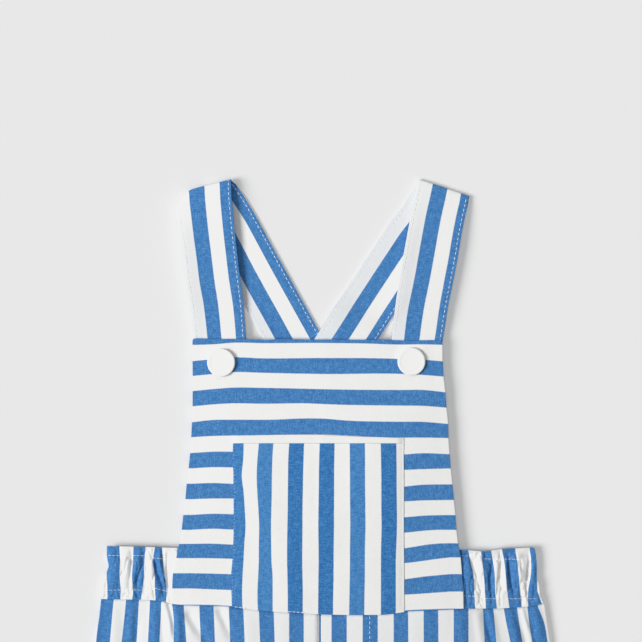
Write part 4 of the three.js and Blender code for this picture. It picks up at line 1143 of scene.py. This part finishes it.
def strap(name, front, fold, back, stripes, seed, corner=0.0):
    """One strap from its end behind the bib, over the shoulder, to its end at the back waistband.
    Stripes are the edges at the bib, up the front and inside, corner is how far the fold sinks at the
    strap's first edge."""
    front_rows, back_rows = dense(front, 1.5), dense(back, 1.5)
    rows = np.concatenate([front_rows, fold_rows(fold, front_rows[-1], back_rows[0]), back_rows])
    share = ticks(STRAP_WIDTH, STRAP_STEP) / STRAP_WIDTH
    left = np.stack([rows[:, 0], rows[:, 1], rows[:, 4]], -1)[:, None]
    right = np.stack([rows[:, 2], rows[:, 3], rows[:, 4]], -1)[:, None]
    middle = left + (right - left) * share[None, :, None]
    fold_row = len(front_rows) + FOLD_STEPS // 2 - 1
    to_fold = np.abs(np.arange(len(rows)) - fold_row)[:, None]
    middle[..., 1] -= corner * ease(32, 4, to_fold) * ease(0.34, -0.08, share)[None] ** 1.4

    # The way out of the cloth, the way travelled along it and the distances from its edges
    ahead = np.gradient(middle, axis=0)
    out = np.cross(np.broadcast_to(right - left, middle.shape), ahead)
    out /= np.linalg.norm(out, axis=-1, keepdims=True)
    steps = np.linalg.norm(np.diff(middle[:, len(share) // 2], axis=0), axis=-1)
    travelled = np.concatenate([[0], np.cumsum(steps)])[:, None] + 0 * share[None]
    edge = np.minimum(share, 1 - share)[None] * STRAP_WIDTH + 0 * travelled
    ends = np.minimum(travelled, travelled[-1] - travelled)
    full = rounding(np.minimum(edge, ends + 0.1))
    front_length = travelled[len(front_rows) - 1, 0]

    # The first edge curls up along the front, and the stitches pull the cloth in
    on_front = ease(26, 60, travelled) * ease(front_length, front_length - 30, travelled)
    curl = 0.8 * ease(11, 0, share * STRAP_WIDTH)[None] * on_front
    stitched = -0.07 * np.exp(-(((edge - STRAP_SEAM_INSET) / 0.6) ** 2))
    puckers = 0.04 * np.sin(2 * np.pi * travelled / 3.2) * np.exp(-((edge / 2.4) ** 2))
    swell = ripple(travelled, share[None] * STRAP_WIDTH, seed, 22, 0.07) * ease(0, 4, edge)
    facing = ease(front_length + 4, front_length - 4, travelled)  # 1 where the outer face is on top
    half = mix(0.5, STRAP_CLOTH / 2, facing) + (stitched + puckers) * ease(0, 1.2, edge)
    rim = 2 * half * (1 - full)
    outer_rim = rim * mix(1 - RIM_DROP, RIM_DROP, facing)
    outer = middle + out * (half + swell + curl - outer_rim)[..., None]
    inner = middle - out * (half - 0.5 * swell - curl - (rim - outer_rim))[..., None]

    # The stripes of the outer face wander between the bib and the shoulder
    along = travelled / STRIPE_PAIR

    def cloth(edges):
        count = np.interp(share, edges, 0.5 * np.arange(len(edges)) + 0.5)[None]
        return np.stack([count + 0 * along, along], -1)

    outside = mix(cloth(stripes[0]), cloth(stripes[1]), ease(38, 75, travelled)[..., None])
    # Beside the first edge the white is tinted bluish-grey, partly folded-in blue edges showing through
    # and partly painted shade; on the outer face the tint grows towards the bib end
    edge_turning_and_shade = ease(10.5, 8, share * STRAP_WIDTH)[None] + 0 * travelled
    near_bib = ease(150, 20, travelled)
    piece = shell(
        name + "_cloth", inner, outer, cloth(stripes[2]), outside, striped_cotton,
        (0.6 * edge_turning_and_shade, edge_turning_and_shade * mix(0.2, 0.5, near_bib)),
    )
    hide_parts(name)
    return piece, outer, inner


left_strap, left_outer, left_inner = strap(
    "strap_left", LEFT_FRONT, LEFT_FOLD, LEFT_BACK, LEFT_STRIPES, 51, corner=11
)
right_strap, right_outer, right_inner = strap(
    "strap_right", RIGHT_FRONT, RIGHT_FOLD, RIGHT_BACK, RIGHT_STRIPES, 53
)
print("straps:", left_outer.shape[:2], right_outer.shape[:2])

# %% [markdown]
# ## Stitches
#
# Topstitching is made as it looks: short bridges of white thread, about 3 mm from one to the next,
# each dipping into the cloth at both ends. A picture of stitches would be lighter, but thread that
# stands off the cloth catches light and casts its own small shadow. The rows are laid along lines of
# points on the finished shells.

# %% Lay a row of stitches along points on the cloth
STITCH_PITCH = 3.2
STITCH_LENGTH = 2.3
THREAD_RADIUS = 0.2
FINE_THREAD_RADIUS = 0.13
PULLED_IN_THREAD_RADIUS = 0.08  # what still shows of a thread that lies deep in its seam
ROD_SIDES = 6
ROD_TAPER = (0.6, 1, 1.05, 1, 0.6)  # the rod's radius from end to end
BRIDGE_ARCH = (-0.3, 0.02, 0.1, 0.02, -0.3)  # its height over the cloth, dipping in at both ends


def stitch_row(points, lift=0.06, pitch=STITCH_PITCH, length=STITCH_LENGTH):
    """One thread bridge after another along points (millimetres) that lie on the cloth."""
    points = np.asarray(points, float)
    far = np.concatenate([[0], np.cumsum(np.linalg.norm(np.diff(points, axis=0), axis=-1))])
    bridges = []
    for start in np.arange(0.4, far[-1] - length, pitch):
        at = start + length * np.linspace(0, 1, len(BRIDGE_ARCH))
        line = np.stack([np.interp(at, far, points[:, i]) for i in range(3)], -1)
        line[:, 2] += lift + np.array(BRIDGE_ARCH)
        bridges.append(line)
    return bridges


def thread(name, bridges, radius=THREAD_RADIUS):
    """All bridges of one piece as one mesh of thin six-sided rods, narrower at their ends."""
    line = np.array(bridges)
    ahead = np.gradient(line, axis=1)
    ahead /= np.linalg.norm(ahead, axis=-1, keepdims=True)
    side = np.cross(ahead, (0, 0, 1.0))
    side /= np.linalg.norm(side, axis=-1, keepdims=True)
    up = np.cross(side, ahead)
    angles = np.linspace(0, 2 * np.pi, ROD_SIDES, endpoint=False)
    taper = radius * np.array(ROD_TAPER)[None, :, None, None]
    ring = side[:, :, None] * np.cos(angles)[None, None, :, None]
    ring = ring + up[:, :, None] * np.sin(angles)[None, None, :, None]
    points = (line[:, :, None] + ring * taper).reshape(-1, 3) * MM
    rod = []
    for r in range(len(ROD_TAPER) - 1):
        for k in range(ROD_SIDES):
            here, beside = ROD_SIDES * r + k, ROD_SIDES * r + (k + 1) % ROD_SIDES
            rod.append((here, beside, beside + ROD_SIDES, here + ROD_SIDES))
    rod += [(3, 2, 1, 0), (5, 4, 3, 0), (24, 25, 26, 27), (24, 27, 28, 29)]  # the two ends
    rod = np.array(rod)
    rod_points = ROD_SIDES * len(ROD_TAPER)
    faces = (rod[None] + rod_points * np.arange(len(line))[:, None, None]).reshape(-1, 4)
    piece = mesh_piece(name, points, faces, thread_look)
    return piece


def on_surface(surface, row_places, column_places):
    """Points of a grid at fractional rows and columns."""
    rows, columns = surface.shape[:2]
    r = np.clip(np.asarray(row_places, float), 0, rows - 1.001)
    c = np.clip(np.asarray(column_places, float), 0, columns - 1.001)
    r0, c0 = r.astype(int), c.astype(int)
    fr, fc = (r - r0)[..., None], (c - c0)[..., None]
    top = surface[r0, c0] * (1 - fc) + surface[r0, c0 + 1] * fc
    foot = surface[r0 + 1, c0] * (1 - fc) + surface[r0 + 1, c0 + 1] * fc
    return top * (1 - fr) + foot * fr


def column_line(surface, distances, distance, first=0.0, last=1.0):
    """Points down a grid at a distance from its left edge."""
    column = np.interp(distance, distances, np.arange(len(distances)))
    rows = np.linspace(first, last, 400) * (surface.shape[0] - 1)
    return on_surface(surface, rows, np.full(400, column))


# %% Stitches on the straps, the pocket, the waistband and the trousers
BACK_STITCHES_BELOW = 3.6  # a strap's back lies lower than this, its front higher than the next
FRONT_STITCHES_ABOVE = 2.7
strap_across = ticks(STRAP_WIDTH, STRAP_STEP)
for name, outer, inner in (
    ("thread_strap_left", left_outer, left_inner),
    ("thread_strap_right", right_outer, right_inner),
):
    bridges = []
    for inset in (STRAP_SEAM_INSET, STRAP_WIDTH - STRAP_SEAM_INSET):
        front = column_line(outer, strap_across, inset, 0.02, 0.40)
        back = column_line(inner, strap_across, inset, 0.30, 0.985)
        back = back[(back[:, 2] < BACK_STITCHES_BELOW) & (np.gradient(back[:, 1]) < 0)]
        bridges += stitch_row(front[front[:, 2] > FRONT_STITCHES_ABOVE])
        bridges += stitch_row(back)
    thread(name, bridges)
    print(name, len(bridges))

bridges = []
for inset in (0.7, POCKET_WIDTH - 1.6):
    line = column_line(pocket_surface, ticks(POCKET_WIDTH, POCKET_STEP), inset, 0.02, 0.985)
    bridges += stitch_row(line, lift=0.0, pitch=2.2, length=1.0)
thread("thread_pocket", bridges, PULLED_IN_THREAD_RADIUS)
print("thread_pocket", len(bridges))


def row_at(surface, line_y, margin=2, count=300):
    """Points across a grid along the heights that line_y gives for each x."""
    rows, columns = surface.shape[:2]
    points = []
    for column in np.linspace(margin, columns - 1 - margin, count):
        down = on_surface(surface, np.arange(rows - 1.0), np.full(rows - 1, column))
        wanted = line_y(down[:, 0].mean())
        order = np.argsort(down[:, 1])
        points.append([np.interp(wanted, down[order, 1], down[order, i]) for i in range(3)])
    return np.array(points)


# Rows of stitches on the waistband, upper and lower: x, y
LEFT_BAND_ROWS = (
    ((-139.2, 34.8), (-126.0, 34.9), (-113.7, 34.6), (-107.8, 33.0), (-101.0, 32.8)),
    ((-139.2, 12.2), (-115.7, 12.2), (-107.2, 13.5), (-100.0, 11.3)),
)
RIGHT_BAND_ROWS = (
    ((88.0, 34.4), (96.4, 34.4), (105.2, 32.5), (140.5, 32.2)),
    ((88.0, 8.6), (99.3, 8.2), (107.2, 6.6), (141.8, 6.6)),
)
for name, surface, rows in (
    ("thread_waistband_left", left_band_surface, LEFT_BAND_ROWS),
    ("thread_waistband_right", right_band_surface, RIGHT_BAND_ROWS),
):
    bridges = []
    for row in rows:
        line = row_at(surface, lambda x: look_up(row, x))
        bridges += stitch_row(line, lift=0.1, pitch=2.9, length=2.7)
    thread(name, bridges, FINE_THREAD_RADIUS)
    print(name, len(bridges))

# The waist seam's stitches come out in two short stretches at the pocket's foot
seam_line = row_at(pocket_surface, lambda x: seam_y(x) + 0.7)
bridges = []
for first_x, last_x in ((-56.0, -46.5), (-21.5, -9.5)):
    shown = (seam_line[:, 0] > first_x) & (seam_line[:, 0] < last_x)
    bridges += stitch_row(seam_line[shown], lift=0.25, pitch=2.8, length=2.4)
thread("thread_waist_seam", bridges)

# %% The fly's stitches on the right front, which curve to its edge, and the hems of both legs
FLY_WIDTH = 32.4
FLY_CURVE_TOP_Y, FLY_CURVE_FOOT_Y = -115.0, -165.0
FLY_END_Y = -163.0


def fly_line(surface):
    rows = np.linspace(8, 110, 400)
    columns = np.arange(surface.shape[1])
    curved = ease(FLY_CURVE_TOP_Y, FLY_CURVE_FOOT_Y, surface[rows.astype(int), 0, 1]) ** 2
    line_x = FLY_WIDTH - 30 * curved
    places = [np.interp(x, surface[int(r), :, 0], columns) for r, x in zip(rows, line_x)]
    line = on_surface(surface, rows, places)
    return line[line[:, 1] > FLY_END_Y]


def hem_stitches(surface):
    return stitch_row(row_at(surface, lambda x: HEM_SEAM_Y))


thread("thread_right_leg", hem_stitches(right_front_surface) + stitch_row(fly_line(right_front_surface)))
thread("thread_left_leg", hem_stitches(left_front_surface))

# %% [markdown]
# ## Buttons
#
# Flat round buttons 18 mm across with a low rim, left bare on top. The real ones are moulded, but a
# profile turned about its middle gives the same form from a few points.

# %% Turn a button
BUTTON_LIFT = 0.25  # how far it stands off the bib
BUTTON_PLACES = {"button_left": (-64.3, 160.5), "button_right": (59.5, 161.2)}
BUTTON_PROFILE = (  # radius, height
    (0.0, 0.0), (6.6, 0.0), (7.8, 0.25), (8.8, 0.9), (9.05, 1.3), (9.1, 1.6), (9.0, 1.95),
    (8.75, 2.2), (8.4, 2.32), (8.0, 2.35), (7.6, 2.31), (7.2, 2.24), (6.8, 2.2), (6.2, 2.18),
    (4.0, 2.17), (2.0, 2.16), (0.0, 2.16),
)


def button(name, place):
    """One button over the bib at a place (x, y)."""
    around = 72
    rings = np.array(BUTTON_PROFILE)
    angles = np.linspace(0, 2 * np.pi, around, endpoint=False)
    z = bib_top(np.array(place[0]), np.array(place[1])) + BUTTON_LIFT
    points = np.stack([
        place[0] + rings[:, :1] * np.cos(angles), place[1] + rings[:, :1] * np.sin(angles),
        z + rings[:, 1:] + 0 * angles,
    ], -1)
    index = np.arange(len(rings) * around).reshape(len(rings), around)
    a, b = index[:-1], index[1:]
    faces = np.stack([a, np.roll(a, -1, 1), np.roll(b, -1, 1), b], -1).reshape(-1, 4)
    piece = mesh_piece(name + "_moulded", points.reshape(-1, 3) * MM, faces, button_look)
    weld = piece.modifiers.new("weld", "WELD")
    weld.merge_threshold = 0.00001
    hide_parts(name)


for name, place in BUTTON_PLACES.items():
    button(name, place)

# %% [markdown]
# ## Trouser fronts and backs
#
# Each front is paired here with its back, and the pairs are not used further. The waistband is cut
# longer than it lies, since the elastic draws it together.

for front, seam in ((left_front, "thread_left_leg"), (right_front, "thread_right_leg")):
    back = left_back if front is left_front else right_back

# %% [markdown]
# ## Table, light and camera
#
# A soft low light from the left draws the narrow shadows to the right of every edge, and weaker ones
# from the hem's side, from the straps' side and overhead fill them, with a dim even sky. In the photo
# the shadows on the table were lightened, while those within the garment stayed deep. So the garment
# and the table each have their own set of lights. Together with the sky, each set gives a flat
# surface about its own colour. The camera looks straight down from 1.6 m.


# %% Helpers for the lights
MIDDLE_Y = 130.0  # the light panels point at this place on the bib


def strength(share, elevation):
    """The irradiance across a beam that gives a level surface a share of full light."""
    return share * np.pi / np.sin(np.radians(elevation))


def put_lamp(data, direction, elevation, lit):
    """Puts up a lamp that shines from a direction (x and y towards it) at an elevation."""
    lamp = bpy.data.objects.new(data.name, data)
    lift = np.radians(elevation)
    flat = np.array(direction) / np.hypot(*direction) * np.cos(lift)
    towards = Vector((flat[0], flat[1], np.sin(lift)))
    lamp.rotation_euler = towards.to_track_quat("Z", "Y").to_euler()
    bpy.context.collection.objects.link(lamp)
    lamp.light_linking.receiver_collection = lit
    lamp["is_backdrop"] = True
    return lamp, towards


def sun(name, direction, elevation, share, angle, lit):
    """An even light, as wide in the sky as its angle."""
    data = bpy.data.lights.new(name, "SUN")
    data.energy = strength(share, elevation)
    data.angle = np.radians(angle)
    put_lamp(data, direction, elevation, lit)


def panel_light(name, direction, elevation, share, angle, distance):
    """A round light panel at a distance (mm) that lights the garment only and weakens beyond it."""
    data = bpy.data.lights.new(name, "AREA")
    data.shape = "DISK"
    data.size = 2 * distance * MM * np.tan(np.radians(angle / 2))
    # A small panel of power P gives P / (pi D^2) straight ahead at the distance D
    data.energy = strength(share, elevation) * np.pi * (distance * MM) ** 2
    lamp, towards = put_lamp(data, direction, elevation, garment_only)
    lamp.location = towards * distance * MM + Vector((0, MIDDLE_Y * MM, 0))


# %% Room, table and lights
TABLE_REACH = 6000.0
world = bpy.data.worlds.new("room")
world.use_nodes = True
world.node_tree.nodes["Background"].inputs["Color"].default_value = (1, 1, 1, 1)
world.node_tree.nodes["Background"].inputs["Strength"].default_value = 0.06
bpy.context.scene.world = world

corners = TABLE_REACH * MM * np.array([(-1, -1, 0), (1, -1, 0), (1, 1, 0), (-1, 1, 0)])
table_mesh = bpy.data.meshes.new("table")
table_mesh.from_pydata([tuple(c) for c in corners], [], [(0, 1, 2, 3)])
table_mesh.materials.append(table_look)
table = bpy.data.objects.new("table", table_mesh)
bpy.context.collection.objects.link(table)
table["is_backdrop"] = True

table_only, garment_only = (bpy.data.collections.new(n) for n in ("table_only", "garment_only"))
table_only.objects.link(table)
garment_only.objects.link(table)
garment_only.collection_objects[0].light_linking.link_state = "EXCLUDE"
sun("window_table", (-1.0, -0.26), 34, 0.46, 29, table_only)
sun("reflector_table", (0.0, -1.0), 45, 0.08, 60, table_only)
sun("ceiling_table", (0.0, 0.01), 89, 0.40, 24, table_only)
panel_light("window_garment", (-1.0, -0.10), 47, 0.71, 26, 3000)
panel_light("skylight_garment", (0.1, 1.0), 45, 0.17, 50, 800)
sun("reflector_garment", (0.0, -1.0), 45, 0.03, 60, garment_only)
sun("ceiling_garment", (0.0, 0.01), 89, 0.07, 50, garment_only)

# %% Camera and picture
VIEW_CENTRE = (0.65, 187.6)
VIEW_WIDTH = 419.6
SENSOR_WIDTH = 36.0
CAMERA_HEIGHT = 1600.0
camera_data = bpy.data.cameras.new("camera")
camera_data.sensor_width = SENSOR_WIDTH
camera_data.lens = SENSOR_WIDTH * CAMERA_HEIGHT / VIEW_WIDTH
camera = bpy.data.objects.new("camera", camera_data)
camera.location = (VIEW_CENTRE[0] * MM, VIEW_CENTRE[1] * MM, CAMERA_HEIGHT * MM)
bpy.context.collection.objects.link(camera)
bpy.context.scene.camera = camera
view = bpy.context.scene.view_settings
view.view_transform = "Standard"

# The camera's soft shoulder: white cloth that faces the light doesn't burn out
view.use_curve_mapping = True
response = view.curve_mapping
response.extend = "HORIZONTAL"
shoulder = response.curves[3]  # the curve of all three colours together
for value, shown in ((0.80, 0.80), (0.87, 0.862), (0.93, 0.882)):
    shoulder.points.new(value, shown)
shoulder.points[-1].location = (1.0, 0.892)
for point in shoulder.points:
    point.handle_type = "VECTOR"
response.update()

# %% Note the sizes and finish
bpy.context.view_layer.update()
triangles = {
    o.name: sum(len(p.vertices) - 2 for p in o.data.polygons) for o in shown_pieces() if o.type == "MESH"
}
print("triangles:", sum(triangles.values()), triangles)
